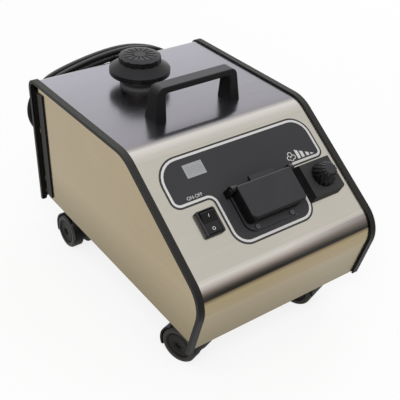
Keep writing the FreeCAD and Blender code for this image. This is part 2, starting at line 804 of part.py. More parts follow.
def switch_body():
    frame = switch_outline(0, (0, SWITCH_FRAME_TALL))
    top = [e for e in frame.Edges if e.BoundBox.ZMin > SWITCH_FRAME_TALL - RUN_GAP]
    frame = frame.makeFillet(SWITCH_EDGE_R, top)
    body = switch_outline(SWITCH_RIM_STEP, (-SWITCH_BODY_DEEP, 0))
    u = span(SWITCH_U, ROCKER_WIDE + 2 * ROCKER_GAP)
    s = span(SWITCH_S, 2 * ROCKER_R + 2 * ROCKER_GAP)
    well = panel_box(u, s, (SWITCH_FLOOR - SWITCH_BODY_DEEP, CUT_OVER + SWITCH_FRAME_TALL))
    reach = ROCKER_WIDE / 2 + ROCKER_GAP + SWITCH_BODY_WALL / 2
    pins = across(PIVOT_R + RUN_GAP, SWITCH_U - reach, SWITCH_U + reach, -SWITCH_S, 0)
    return on_panel(cut(frame.fuse(body), [well, pins]))


def switch_rocker():
    rise = math.tan(math.radians(ROCKER_TILT_DEG)) * ROCKER_R
    outline = [
        V(0, -ROCKER_R, -ROCKER_FOOT),
        V(0, -ROCKER_R, ROCKER_RIDGE + rise),
        V(0, 0, ROCKER_RIDGE),
        V(0, ROCKER_R, ROCKER_RIDGE + rise),
        V(0, ROCKER_R, -ROCKER_FOOT),
    ]
    wedge = face_of(outline, (0,) * 5).extrude(V(ROCKER_WIDE, 0, 0))
    wedge.translate(V(-ROCKER_WIDE / 2, 0, 0))
    rocker = wedge.common(across(ROCKER_R, -ROCKER_WIDE / 2, ROCKER_WIDE / 2))
    reach = ROCKER_WIDE / 2 + ROCKER_GAP + SWITCH_BODY_WALL / 2 - RUN_GAP
    rocker = rocker.fuse(across(PIVOT_R, -reach, reach))
    rocker.rotate(V(), X_AXIS, ROCKER_TILT_DEG)
    rocker.translate(V(SWITCH_U, -SWITCH_S, 0))
    return on_panel(rocker)


def regulator_block():
    foot = cut_corner(BLOCK_U, BLOCK_S, 0, BLOCK_CUT)
    top_u = (BLOCK_U[0] + BLOCK_TAPER, BLOCK_U[1] - BLOCK_TAPER)
    top_s = (BLOCK_S[0] + BLOCK_TAPER, BLOCK_S[1] - BLOCK_TAPER)
    top = cut_corner(top_u, top_s, BLOCK_TALL, BLOCK_TOP_CUT)
    block = Part.makeLoft([foot, top], True, True)
    bore = disc(SPINDLE_R + RUN_GAP, -CUT_OVER, BLOCK_TALL + CUT_OVER, KNOB_U, -KNOB_S)
    return on_panel(block.cut(bore))


def cut_corner(u, s, h, cut_size):
    points = [
        V(u[0], -s[0], h),
        V(u[1], -s[0], h),
        V(u[1], cut_size - s[1], h),
        V(u[1] - cut_size, -s[1], h),
        V(u[0], -s[1], h),
    ]
    return Part.makePolygon(points + points[:1])


def regulator_knob():
    base = BLOCK_TALL + KNOB_GAP
    sections = []
    for height_share, radius_share in zip(KNOB_HEIGHT_SHARES, KNOB_RADIUS_SHARES):
        points = []
        for i in range(2 * KNOB_RIBS):
            angle = math.pi * i / KNOB_RIBS + math.radians(KNOB_SWIRL_DEG) * height_share
            radius = KNOB_R * radius_share - KNOB_RIB_DEEP * (i % 2)
            x = KNOB_U + radius * math.cos(angle)
            y = radius * math.sin(angle) - KNOB_S
            points.append(V(x, y, base + KNOB_TALL * height_share))
        sections.append(Part.makePolygon(points + points[:1]))
    knob = Part.makeLoft(sections, True, True)
    bore = disc(SPINDLE_R, base - CUT_OVER, base + SPINDLE_IN_KNOB, KNOB_U, -KNOB_S)
    return on_panel(knob.cut(bore))


def regulator_spindle():
    top = BLOCK_TALL + KNOB_GAP + SPINDLE_IN_KNOB
    return on_panel(disc(SPINDLE_R, -SPINDLE_DEEP, top, KNOB_U, -KNOB_S))


def needle_valve():
    collar = disc(VALVE_COLLAR_R, -SHEET - VALVE_COLLAR_TALL, -SHEET, KNOB_U, -KNOB_S)
    body = disc(VALVE_R, -VALVE_DEEP, -SHEET, KNOB_U, -KNOB_S)
    bore = disc(SPINDLE_R + RUN_GAP, -SPINDLE_DEEP - VALVE_CAVITY_TALL, 0, KNOB_U, -KNOB_S)
    inlet = disc(VALVE_CHANNEL_R, -VALVE_DEEP - CUT_OVER, -SPINDLE_DEEP, KNOB_U, -KNOB_S)
    foot = disc(PIPE_R, -VALVE_DEEP - CUT_OVER, PIPE_SINK - VALVE_DEEP, KNOB_U, -KNOB_S)
    port_h = VALVE_PORT_UP - VALVE_DEEP
    outlet = across(VALVE_CHANNEL_R, KNOB_U - VALVE_R - CUT_OVER, KNOB_U, -KNOB_S, port_h)
    seat = across(PIPE_R, KNOB_U - VALVE_R - CUT_OVER, KNOB_U - VALVE_R + PIPE_SINK, -KNOB_S, port_h)
    return on_panel(cut(body.fuse(collar), [bore, inlet, foot, outlet, seat]))


# Hose socket
def lug_span(side, gap=0):
    inner = COVER_WIDE / 2 + LUG_GAP
    near, far = side * (inner - gap), side * (inner + LUG_THICK + gap)
    return SOCKET_U + min(near, far), SOCKET_U + max(near, far)


def socket_housing():
    flange_u = span(SOCKET_U, FLANGE_WIDE)
    flange = plate(flange_u, FLANGE_S, (0, FLANGE_TALL), (FLANGE_TOP_R, FLANGE_TOP_R, FLANGE_R, FLANGE_R))
    wall_u = span(SOCKET_U, HOUSING_WIDE)
    wall = plate(wall_u, HOUSING_S, (-HOUSING_DEEP, HOUSING_TALL), (HOUSING_R,) * 4)
    parts = [flange, wall]
    for side in (-1, 1):
        u = lug_span(side)
        parts.append(panel_box(u, span(HINGE_S, 2 * LUG_R), (0, HINGE_H)))
        parts.append(across(LUG_R, u[0], u[1], -HINGE_S, HINGE_H))
        inner = flange_u[0] + FLANGE_TOP_R if side < 0 else flange_u[1] - FLANGE_TOP_R
        bridge_u = sorted((inner, u[0] if side < 0 else u[1]))
        bridge_s = span(HINGE_S + FLANGE_TOP_R / 2, 2 * LUG_R - FLANGE_TOP_R)
        parts.append(panel_box(bridge_u, bridge_s, (0, FLANGE_TALL)))
    cavity_h = (HOUSING_FLOOR - HOUSING_DEEP, HOUSING_TALL + CUT_OVER)
    cavity = plate(span(SOCKET_U, CAVITY_WIDE), CAVITY_S, cavity_h, (CAVITY_R,) * 4)
    holes = [cavity]
    for u in SOCKET_SCREW_U:
        for s in SOCKET_SCREW_S:
            holes.append(disc(SOCKET_SCREW_R, -CUT_OVER, CUT_OVER, u, -s))
    pin_u = (lug_span(-1)[0], lug_span(1)[1])
    holes.append(across(HINGE_PIN_R, pin_u[0], pin_u[1], -HINGE_S, HINGE_H))
    holes.append(disc(OUTLET_TAIL_R, -HOUSING_DEEP - CUT_OVER, 0, SOCKET_U, -SOCKET_S))
    return on_panel(cut(fuse(parts), holes))


def socket_insert():
    u = span(SOCKET_U, INSERT_WIDE)
    s = span(SOCKET_S, INSERT_LONG)
    base = HOUSING_FLOOR - HOUSING_DEEP
    block = plate(u, s, (base, INSERT_TOP), (INSERT_R,) * 4)
    boss = disc(OUTLET_BOSS_R, INSERT_TOP, OUTLET_TOP, SOCKET_U, -SOCKET_S)
    holes = [disc(OUTLET_R, base - CUT_OVER, OUTLET_TOP + CUT_OVER, SOCKET_U, -SOCKET_S)]
    contact_h = (INSERT_TOP - CONTACT_DEEP, INSERT_TOP + CUT_OVER)
    for offset in CONTACT_U:
        holes.append(disc(CONTACT_R, *contact_h, SOCKET_U + offset, -SOCKET_S))
    return on_panel(cut(fuse([block, boss]), holes))


def steam_fitting():
    foot = -HOUSING_DEEP - OUTLET_TAIL_LONG
    tail = disc(OUTLET_TAIL_R, foot, HOUSING_FLOOR - HOUSING_DEEP, SOCKET_U, -SOCKET_S)
    holes = [
        disc(OUTLET_CHANNEL_R, foot - CUT_OVER, 0, SOCKET_U, -SOCKET_S),
        disc(PIPE_R, foot - CUT_OVER, foot + PIPE_SINK, SOCKET_U, -SOCKET_S),
    ]
    return on_panel(cut(tail, holes))


def socket_screws():
    screws = []
    for u in SOCKET_SCREW_U:
        for s in SOCKET_SCREW_S:
            shank = disc(SOCKET_SCREW_R, FLANGE_TALL - SOCKET_SCREW_LONG, FLANGE_TALL, u, -s)
            head = disc(SOCKET_SCREW_HEAD_R, FLANGE_TALL, FLANGE_TALL + SCREW_HEAD_TALL, u, -s)
            screws.append(on_panel(shank.fuse(head)))
    return screws


def socket_cover():
    u = span(SOCKET_U, COVER_WIDE)
    shell = plate(u, COVER_S, (COVER_SKIRT_FOOT, COVER_TOP), (COVER_R / 2, COVER_R / 2, COVER_R, COVER_R))
    top = [e for e in shell.Edges if e.BoundBox.ZMin > COVER_TOP - RUN_GAP]
    shell = shell.makeFillet(COVER_EDGE_R, top)
    hollow_u = (u[0] + COVER_SIDE, u[1] - COVER_SIDE)
    hollow_s = (COVER_S[0] - CUT_OVER, COVER_S[1] - COVER_SIDE)
    radii = (0, 0, COVER_R - COVER_SIDE, COVER_R - COVER_SIDE)
    hollow = plate(hollow_u, hollow_s, (0, COVER_TOP - COVER_THICK), radii)
    knuckle_u = span(SOCKET_U, KNUCKLE_LONG)
    barrel = across(KNUCKLE_R, knuckle_u[0], knuckle_u[1], -HINGE_S, HINGE_H)
    bridge_s = (HINGE_S, COVER_S[0] + KNUCKLE_R)
    bridge_h = (COVER_TOP - COVER_THICK - KNUCKLE_R / 2, COVER_TOP - COVER_THICK / 2)
    bridge = panel_box(knuckle_u, bridge_s, bridge_h)
    clear = panel_box(knuckle_u, (HOUSING_S[0] - ROCKER_GAP, COVER_S[1]), (0, COVER_TOP - COVER_THICK))
    bore = across(HINGE_PIN_R + RUN_GAP, u[0] - CUT_OVER, u[1] + CUT_OVER, -HINGE_S, HINGE_H)
    rib_h = (COVER_TOP - 2 * COVER_EDGE_R, COVER_TOP - COVER_EDGE_R / 2)
    rib = panel_box(knuckle_u, (RIB_TOP_S, COVER_S[0] + COVER_EDGE_R), rib_h)
    arm = fuse([barrel, bridge, rib]).cut(clear)
    return on_panel(shell.cut(hollow).fuse(arm).cut(bore).removeSplitter())


def socket_hinge_pin():
    u = (lug_span(-1)[0], lug_span(1)[1])
    return on_panel(across(HINGE_PIN_R, u[0], u[1], -HINGE_S, HINGE_H))


def socket_spring():
    long = SPRING_PITCH * SPRING_TURNS
    coil = Part.makeHelix(SPRING_PITCH, long, SPRING_TURN_R)
    ring = Part.Wire(Part.makeCircle(SPRING_WIRE_R, V(SPRING_TURN_R, 0, 0), Y_AXIS))
    spring = Part.Wire(coil).makePipeShell([ring], True, True)
    spring.rotate(V(), Y_AXIS, 90)
    start = SOCKET_U + KNUCKLE_LONG / 2 + SPRING_GAP
    spring.translate(V(start, -HINGE_S, HINGE_H))
    return on_panel(spring)


# Filler neck and cap
def filler_neck():
    foot = BOILER_Z + BOILER_R - BOILER_WALL - NECK_IN_BOILER
    tube_form = disc(NECK_R, foot, STEEL_TOP + NECK_TALL, CAP_X, CAP_Y)
    return tube_form.cut(disc(NECK_BORE_R, foot - CUT_OVER, STEEL_TOP + NECK_TALL + CUT_OVER, CAP_X, CAP_Y))


def neck_collar():
    low, high = STEEL_TOP, STEEL_TOP + COLLAR_TALL
    bore = NECK_R + TOUCH_GAP
    points = [
        (bore, low),
        (COLLAR_R, low),
        (COLLAR_R, high - COLLAR_BEVEL),
        (COLLAR_R - COLLAR_BEVEL, high),
        (bore, high),
    ]
    return turned_form(points, CAP_X, CAP_Y)


def cap_plug():
    seat = STEEL_TOP + NECK_TALL + GASKET_TALL
    head = seat + CAP_HEAD_TALL
    foot = seat - GASKET_TALL - PLUG_DEEP
    points = [
        (0, foot + PLUG_HOLLOW_DEEP),
        (PLUG_HOLLOW_R, foot + PLUG_HOLLOW_DEEP),
        (PLUG_HOLLOW_R, foot),
        (PLUG_R, foot),
        (PLUG_R, seat),
        (NECK_R, seat),
        (NECK_R, head),
        (CAP_BOSS_R, head),
        (CAP_BOSS_R, head + CAP_BOSS_TALL),
        (0, head + CAP_BOSS_TALL),
    ]
    return turned_form(points, CAP_X, CAP_Y)


def cap_gasket():
    low = STEEL_TOP + NECK_TALL
    ring = disc(NECK_R, low, low + GASKET_TALL, CAP_X, CAP_Y)
    return ring.cut(disc(PLUG_R, low - CUT_OVER, low + CUT_OVER, CAP_X, CAP_Y))


def cap_skirt():
    base = STEEL_TOP
    roof = base + SKIRT_TOP - SKIRT_ROOF
    bore = CAP_BOSS_R + RUN_GAP
    points = [
        (SKIRT_R - SKIRT_WALL, base + SKIRT_FOOT),
        (SKIRT_R, base + SKIRT_FOOT),
        (SKIRT_R, base + SKIRT_RIM_TOP),
        (SKIRT_TOP_R, base + SKIRT_TOP),
        (bore, base + SKIRT_TOP),
        (bore, roof),
        (SKIRT_TOP_R - SKIRT_WALL, roof),
        (SKIRT_R - SKIRT_WALL, base + SKIRT_RIM_TOP - SKIRT_WALL / 2),
    ]
    return turned_form(points, CAP_X, CAP_Y)


def cap_knob():
    low = STEEL_TOP + SKIRT_TOP
    edge = STEEL_TOP + GRIP_EDGE
    top = STEEL_TOP + GRIP_TOP
    bore_top = STEEL_TOP + NECK_TALL + GASKET_TALL + CAP_HEAD_TALL + CAP_BOSS_TALL + ROCKER_GAP
    bore = CAP_BOSS_R + RUN_GAP
    points = [
        (bore, low),
        (GRIP_R, low),
        (GRIP_R, edge),
        (GRIP_TOP_R, top),
        (0, top),
        (0, bore_top),
        (bore, bore_top),
    ]
    knob = turned_form(points)
    tools = []
    for i in range(GRIP_GROOVES):
        angle = 360 * i / GRIP_GROOVES
        groove = across(GRIP_GROOVE_R, GRIP_GROOVE_IN, GRIP_TOP_R + CUT_OVER, 0, top)
        groove.rotate(V(), Z_AXIS, angle)
        flute = disc(GRIP_FLUTE_R, low - CUT_OVER, top + CUT_OVER, GRIP_R + GRIP_FLUTE_R - GRIP_FLUTE_DEEP)
        flute.rotate(V(), Z_AXIS, angle)
        tools += [groove, flute]
    knob = cut(knob, tools)
    knob.translate(V(CAP_X, CAP_Y, 0))
    return knob


# Boiler and steam parts
def vessel(x, radius, end_r):
    points = [
        V(x[0], 0, 0),
        V(x[0], 0, radius),
        V(x[1], 0, radius),
        V(x[1], 0, 0),
    ]
    face = face_of(points, (0, end_r, end_r, 0))
    form = face.revolve(V(), X_AXIS, 360)
    form.translate(V(0, CAP_Y, BOILER_Z))
    return form


def boiler():
    inner = (BOILER_X[0] + BOILER_WALL, BOILER_X[1] - BOILER_WALL)
    shell = vessel(BOILER_X, BOILER_R, BOILER_END_R)
    hollow = vessel(inner, BOILER_R - BOILER_WALL, BOILER_END_R - BOILER_WALL)
    heater_z = BOILER_Z - HEATER_DROP
    holes = [
        disc(NECK_R, BOILER_Z, BEND[1], CAP_X, CAP_Y),
        across(HEATER_HOLE_R, BOILER_X[1] - CUT_OVER, BOILER_X[1] + CUT_OVER, CAP_Y, heater_z),
        disc(SAFETY_R, BOILER_Z, BEND[1], SAFETY_X, CAP_Y),
        disc(PRESSURE_STEM_R, BOILER_Z, BEND[1], PRESSURE_X, CAP_Y),
        disc(PIPE_R, BOILER_Z, BEND[1], PIPE_X, CAP_Y),
    ]
    return cut(shell, [hollow] + holes)


def boiler_cradle():
    y = span(CAP_Y, CRADLE_DEEP)
    saddles = []
    round_space = across(BOILER_R, BOILER_X[0], BOILER_X[1], CAP_Y, BOILER_Z)
    for x in CRADLE_X:
        upright = box(span(x, CRADLE_THICK), y, (TRAY_TOP, CRADLE_TOP_Z))
        foot = box(span(x, CRADLE_FOOT_WIDE), y, (TRAY_TOP, TRAY_TOP + CRADLE_FOOT_TALL))
        saddles.append(upright.fuse(foot).cut(round_space))
    return saddles


def heating_element():
    z = BOILER_Z - HEATER_DROP
    y = span(CAP_Y, 2 * HEATER_HALF_PITCH)
    outside = BOILER_X[1] + HEATER_FLANGE_THICK + HEATER_PIN_LONG
    points = [V(outside, y[0], z), V(HEATER_FAR_X, y[0], z), V(HEATER_FAR_X, y[1], z), V(outside, y[1], z)]
    bend = HEATER_HALF_PITCH - TOUCH_GAP
    hairpin = tube(points, (0, bend, bend, 0), HEATER_TUBE_R)
    flange = across(HEATER_FLANGE_R, BOILER_X[1], BOILER_X[1] + HEATER_FLANGE_THICK, CAP_Y, z)
    return hairpin.fuse(flange)


def safety_valve():
    foot = BOILER_Z + BOILER_R - BOSS_SINK
    body = disc(SAFETY_R, foot, foot + BOSS_SINK + SAFETY_TALL, SAFETY_X, CAP_Y)
    low = foot + BOSS_SINK
    return body.fuse(hexagon(SAFETY_HEX_R, low, low + SAFETY_HEX_TALL, SAFETY_X, CAP_Y))


def pressure_switch():
    foot = BOILER_Z + BOILER_R - BOSS_SINK
    low = foot + BOSS_SINK + PRESSURE_STEM_TALL
    parts = [
        disc(PRESSURE_STEM_R, foot, low, PRESSURE_X, CAP_Y),
        disc(PRESSURE_R, low, low + PRESSURE_TALL, PRESSURE_X, CAP_Y),
    ]
    for side in (-1, 1):
        x = span(PRESSURE_X + side * PRESSURE_STEM_R, SPADE[1])
        parts.append(box(x, span(CAP_Y, SPADE[0]), (low, low + PRESSURE_TALL + SPADE[2])))
    return fuse(parts)


def solenoid_valve():
    x, y = SOLENOID
    foot = TRAY_TOP + SOLENOID_FOOT_TALL
    top = foot + SOLENOID_BLOCK_TALL
    parts = [
        box(span(x, SOLENOID_FOOT), span(y, SOLENOID_FOOT), (TRAY_TOP, foot)),
        box(span(x, SOLENOID_BLOCK), span(y, SOLENOID_BLOCK), (foot, top)),
        disc(SOLENOID_COIL_R, top, top + SOLENOID_COIL_TALL, x, y),
    ]
    half = SOLENOID_BLOCK / 2
    bores = []
    for side in (-1, 1):
        start = V(x, y + side * (half - PIPE_SINK), SOLENOID_PORT_Z)
        bores.append(Part.makeCylinder(PIPE_R, CUT_OVER, start, V(0, side, 0)))
    return cut(fuse(parts), bores)


def steam_pipes():
    x, y = SOLENOID
    half = SOLENOID_BLOCK / 2 - PIPE_SINK
    z = SOLENOID_PORT_Z
    boiler_out = BOILER_Z + BOILER_R - BOSS_SINK
    feed = [
        V(PIPE_X, CAP_Y, boiler_out),
        V(PIPE_X, CAP_Y, PIPE_TOP_Z),
        V(PIPE_X, PIPE_FRONT_Y, PIPE_TOP_Z),
        V(x, PIPE_DROP_Y, z),
        V(x, y + half, z),
    ]
    valve_in = panel_point(KNOB_U, KNOB_S, PIPE_SINK - VALVE_DEEP)
    under_valve = panel_point(KNOB_U, KNOB_S, -VALVE_DEEP - PIPE_VALVE_RUN)
    supply = [V(x, y - half, z), V(x, y - half - PIPE_OUT_RUN, z), under_valve, valve_in]
    port_h = VALVE_PORT_UP - VALVE_DEEP
    cross_h = port_h - CROSS_DEEP
    tail_h = PIPE_SINK - HOUSING_DEEP - OUTLET_TAIL_LONG
    start_u = KNOB_U - VALVE_R + PIPE_SINK
    cross = [
        panel_point(start_u, KNOB_S, port_h),
        panel_point(start_u - CROSS_RUN, KNOB_S, port_h),
        panel_point(SOCKET_U + CROSS_END_RUN, SOCKET_S, cross_h),
        panel_point(SOCKET_U, SOCKET_S, cross_h),
        panel_point(SOCKET_U, SOCKET_S, tail_h),
    ]
    small = PIPE_BEND_R * 3 / 4
    return [
        tube(feed, (0, PIPE_BEND_R, PIPE_BEND_R, PIPE_BEND_R, 0), PIPE_R),
        tube(supply, (0, PIPE_BEND_R, PIPE_BEND_R, 0), PIPE_R),
        tube(cross, (0, PIPE_BEND_R, PIPE_BEND_R, small, 0), PIPE_R),
    ]


def terminal_block():
    x, y = TERMINAL
    wide, deep, tall = TERMINAL_SIZE
    block = box(span(x, wide), span(y, deep), (TRAY_TOP, TRAY_TOP + tall))
    groove = wide / (2 * TERMINAL_BUMPS + 1)
    grooves = []
    for i in range(TERMINAL_BUMPS):
        start = x - wide / 2 + groove * (2 * i + 1)
        z = (TRAY_TOP + tall / 2, TRAY_TOP + tall + CUT_OVER)
        grooves.append(box((start, start + groove), span(y, deep / 2), z))
    return cut(block, grooves)


# Mains lead
def cord_gland():
    reach = GLAND_NUT_TALL + GLAND_DOME_TALL
    points = [
        (CORD_R, -SHEET - GLAND_LOCK_TALL),
        (GLAND_NUT_R, -SHEET - GLAND_LOCK_TALL),
        (GLAND_NUT_R, -SHEET),
        (GLAND_THREAD_R, -SHEET),
        (GLAND_THREAD_R, 0),
        (GLAND_NUT_R, 0),
        (GLAND_NUT_R, GLAND_NUT_TALL),
        (GLAND_DOME_R, GLAND_NUT_TALL),
        (GLAND_MOUTH_R, reach),
        (CORD_R, reach),
    ]
    return on_rear(turned_form(points), GLAND_X, GLAND_UP)


def cord_hook():
    seat = COIL_TOP[1] - coil_offset(4 * COIL_TURNS_IN - 2) - CORD_R - HOOK_DROP
    low = seat - HOOK_ARM_TALL
    x = span(HOOK_X, HOOK_WIDE)
    wall_low = low - HOOK_PLATE_UNDER
    wall_top = wall_low + HOOK_PLATE_TALL
    outline = [
        V(x[0], rear_y(wall_low, TRIM_LIP), wall_low),
        V(x[0], rear_y(wall_low, TRIM_LIP) + HOOK_PLATE_THICK, wall_low),
        V(x[0], rear_y(low, TRIM_LIP) + HOOK_PLATE_THICK, low),
        V(x[0], HOOK_TIP_Y, low),
        V(x[0], HOOK_TIP_Y, low + HOOK_TIP_TALL),
        V(x[0], HOOK_TIP_Y - HOOK_TIP_THICK, low + HOOK_TIP_TALL),
        V(x[0], HOOK_TIP_Y - HOOK_TIP_THICK, seat),
        V(x[0], rear_y(seat, TRIM_LIP) + HOOK_PLATE_THICK, seat),
        V(x[0], rear_y(wall_top, TRIM_LIP) + HOOK_PLATE_THICK, wall_top),
        V(x[0], rear_y(wall_top, TRIM_LIP), wall_top),
    ]
    tip = HOOK_TIP_THICK / 2 - TOUCH_GAP
    radii = (0, 0, 0, HOOK_TIP_THICK, tip, tip, 0, 0, 0, 0)
    return face_of(outline, radii).extrude(V(HOOK_WIDE, 0, 0))


def coil_offset(quarter):
    middle = 4 * COIL_TURNS_IN
    steps = quarter if quarter <= middle else 2 * middle - quarter
    return COIL_STEP * steps / 4


def coil_point(quarter):
    offset = coil_offset(quarter)
    middle = 4 * COIL_TURNS_IN
    layer = min(max((quarter - middle + 1) / 2, 0), 1)
    y = COIL_Y[0] + (COIL_Y[1] - COIL_Y[0]) * layer
    spots = (
        (V(COIL_FOOT[0], y, COIL_FOOT[1] + offset), V(-1, 0, 0)),
        (V(COIL_LEFT[0] + offset, y, COIL_LEFT[1]), V(0, 0, 1)),
        (V(COIL_TOP[0], y, COIL_TOP[1] - offset), V(1, 0, 0)),
        (V(COIL_RIGHT[0] - offset, y, COIL_RIGHT[1]), V(0, 0, -1)),
    )
    return spots[quarter % 4]


def arc_of(start, control, end):
    middle = (start + end) / 2
    lean = math.cos((control - start).getAngle(end - start))
    return Part.Arc(start, middle + (control - middle) * (lean / (1 + lean)), end).toShape()


def two_arcs(start, heading, end, leaving, ratio):
    chord = end - start
    pull = leaving + heading * ratio
    open_share = 2 * ratio * (1 - heading.dot(leaving))
    along = chord.dot(pull)
    far = (math.sqrt(along * along + open_share * chord.dot(chord)) - along) / open_share
    near = far * ratio
    first = start + heading * near
    second = end - leaving * far
    between = first + (second - first) * (near / (near + far))
    return [arc_of(start, first, between), arc_of(between, second, end)]


def arc_ratio(wide, tall, end_r):
    long_r = (wide * wide + tall * tall - 2 * wide * end_r) / (2 * (tall - end_r))
    long_turn = math.atan2(wide - end_r, long_r - tall)
    end_turn = math.pi / 2 - long_turn
    return end_r * math.tan(end_turn / 2) / (long_r * math.tan(long_turn / 2))


def coil_edges():
    edges = []
    first = coil_point(0)[0]
    last = coil_point(8 * COIL_TURNS_IN)[0]
    edges.append(Part.LineSegment(first + V(2 * CORD_R, 0, 0), first).toShape())
    for quarter in range(8 * COIL_TURNS_IN):
        start, heading = coil_point(quarter)
        end, leaving = coil_point(quarter + 1)
        wide, tall = abs(end.x - start.x), abs(end.z - start.z)
        end_r = COIL_END_R - (coil_offset(quarter) + coil_offset(quarter + 1)) / 2
        ratio = arc_ratio(wide, tall, end_r)
        if quarter % 2 == 0:
            ratio = 1 / ratio
        edges += two_arcs(start, heading, end, leaving, ratio)
    edges.append(Part.LineSegment(last, last - V(2 * CORD_R, 0, 0)).toShape())
    return edges


def least_gap(edges):
    points = []
    travel = 0
    for edge in edges:
        count = max(int(edge.Length / CORD_R), 2)
        places = edge.discretize(count + 1)[:-1]
        for point in places:
            points.append((travel, point))
            travel += edge.Length / count
    least = CASE_WIDE
    for i, (along, point) in enumerate(points):
        for other_along, other in points[i + 1:]:
            if other_along - along > 8 * CORD_R:
                least = min(least, point.distanceToPoint(other))
    return least - 2 * CORD_R


def route_radii(points):
    radii = [0]
    for i in range(1, len(points) - 1):
        before = points[i] - points[i - 1]
        after = points[i + 1] - points[i]
        half = before.getAngle(after) / 2
        radii.append(BEND_SHARE * min(before.Length, after.Length) / math.tan(half))
    return radii + [0]


def lead(name, points):
    radii = route_radii(points)
    edges = rounded_edges(points, radii, False)
    solid = sweep(edges, CORD_R)
    length = sum(edge.Length for edge in edges)
    shown = [round(radius, 1) for radius in radii[1:-1]]
    print(name, "bend radii", shown, "length", round(length), "volume check", volume_share(solid, length))
    return solid


def volume_share(solid, length):
    return round(solid.Volume / (math.pi * CORD_R * CORD_R * length), 4)


def mains_cord_tail():
    start = gland_point(GLAND_NUT_TALL + GLAND_DOME_TALL)
    points = [start] + [V(*point) for point in TAIL_POINTS]
    points.append(coil_point(0)[0] + V(2 * CORD_R, 0, 0))
    return lead("tail", points)


def gland_point(out):
    z = REAR_FOOT[1] + GLAND_UP
    lean = FreeCAD.Rotation(X_AXIS, -90 - REAR_LEAN_DEG)
    return V(GLAND_X, rear_y(z, TRIM_LIP), z) + lean.multVec(V(0, 0, out))


def mains_cord_coil():
    edges = coil_edges()
    solid = sweep(edges, CORD_R)
    length = sum(edge.Length for edge in edges)
    print("coil length", round(length), "volume check", volume_share(solid, length))
    print("coil least gap", round(least_gap(edges), 2))
    print("coil tightest bend", round(min(e.Curve.Radius for e in edges if hasattr(e.Curve, "Radius")), 1))
    return solid


def mains_cord_end():
    start = coil_point(8 * COIL_TURNS_IN)[0] - V(2 * CORD_R, 0, 0)
    points = [start] + [V(*point) for point in END_POINTS] + [V(*PLUG_TOP)]
    return lead("end", points)


def plug_heading():
    return (V(*PLUG_TOP) - V(*END_POINTS[-1])).normalize()


def on_plug(shape):
    placed = shape.copy()
    turn = FreeCAD.Rotation(Z_AXIS, plug_heading())
    placed.Placement = FreeCAD.Placement(V(*PLUG_TOP), turn).multiply(placed.Placement)
    return placed


def plug_body():
    shoulder = PLUG_NECK_TALL
    face = shoulder + PLUG_FACE_TALL
    points = [
        (0, 0),
        (PLUG_NECK_R, 0),
        (PLUG_NECK_R + CORD_R / 2, shoulder / 2),
        (PLUG_BODY_R, shoulder),
        (PLUG_BODY_R, face),
        (0, face),
    ]
    body = turned_form(points)
    sockets = [
        disc(PLUG_ROOT_R, face - PLUG_ROOT_LONG, face + CUT_OVER, side * PLUG_PIN_PITCH / 2)
        for side in (-1, 1)
    ]
    return on_plug(cut(body, sockets))


def plug_pins():
    face = PLUG_NECK_TALL + PLUG_FACE_TALL
    pins = []
    for side in (-1, 1):
        x = side * PLUG_PIN_PITCH / 2
        root = disc(PLUG_ROOT_R, face - PLUG_ROOT_LONG, face, x)
        pin = disc(PLUG_PIN_R, face, face + PLUG_PIN_LONG, x)
        pins.append(on_plug(root.fuse(pin)))
    return pins


# Castors
def castor_stems():
    stems = []
    for x, y in CASTOR_PLACES.values():
        parts = [
            disc(STEM_R, STEM_FOOT_Z, TRAY_TOP + STEM_NUT_TALL + TRAY_THICK, x, y),
            disc(STEM_FLANGE_R, TRAY_Z - STEM_FLANGE_THICK, TRAY_Z, x, y),
            hexagon(STEM_NUT_R, TRAY_TOP, TRAY_TOP + STEM_NUT_TALL, x, y),
        ]
        stems.append(fuse(parts))
    return stems


def place_castor(shape, name):
    x, y = CASTOR_PLACES[name]
    shape.rotate(V(), Z_AXIS, CASTOR_TURN_DEG[name])
    shape.translate(V(x, y, 0))
    return shape


def castor_hood(name):
    half = WEB_HALF + WEB_GAP + WHEEL_WIDE
    inner = WHEEL_R + HOOD_GAP
    outer = inner + HOOD_WALL
    y, z = CASTOR_TRAIL, WHEEL_R
    boss_top = TRAY_Z - STEM_FLANGE_THICK - SWIVEL_GAP
    fender = across(outer, -half, half, y, z)
    boss = disc(BOSS_R, z, boss_top)
    form = fender.fuse(boss)
    pocket = across(inner, WEB_HALF, half + CUT_OVER, y, z)
    wide = (-half - CUT_OVER, half + CUT_OVER)
    below_front = box(wide, (y - outer - CUT_OVER, y - inner / 2), (-CUT_OVER, HOOD_FRONT_FOOT_Z))
    below_rear = box(wide, (y - outer, y + outer + CUT_OVER), (-CUT_OVER, HOOD_REAR_FOOT_Z))
    round_top = box((-outer, outer), (-outer, y + outer), (HOOD_TOP_Z, boss_top))
    round_top = round_top.cut(disc(HOOD_CROWN_R, 0, boss_top))
    form = cut(form, [pocket, mirrored(pocket), below_front, below_rear, round_top])
    reach = half - AXLE_SHORT
    axle = across(AXLE_R, -reach, reach, y, z)
    hub = across(AXLE_R + HOOD_WALL, -WEB_HALF, WEB_HALF, y, z)
    form = fuse([form, axle, hub])
    bore = disc(STEM_R + RUN_GAP, STEM_FOOT_Z - SWIVEL_GAP, boss_top + CUT_OVER)
    return place_castor(form.cut(bore), name)


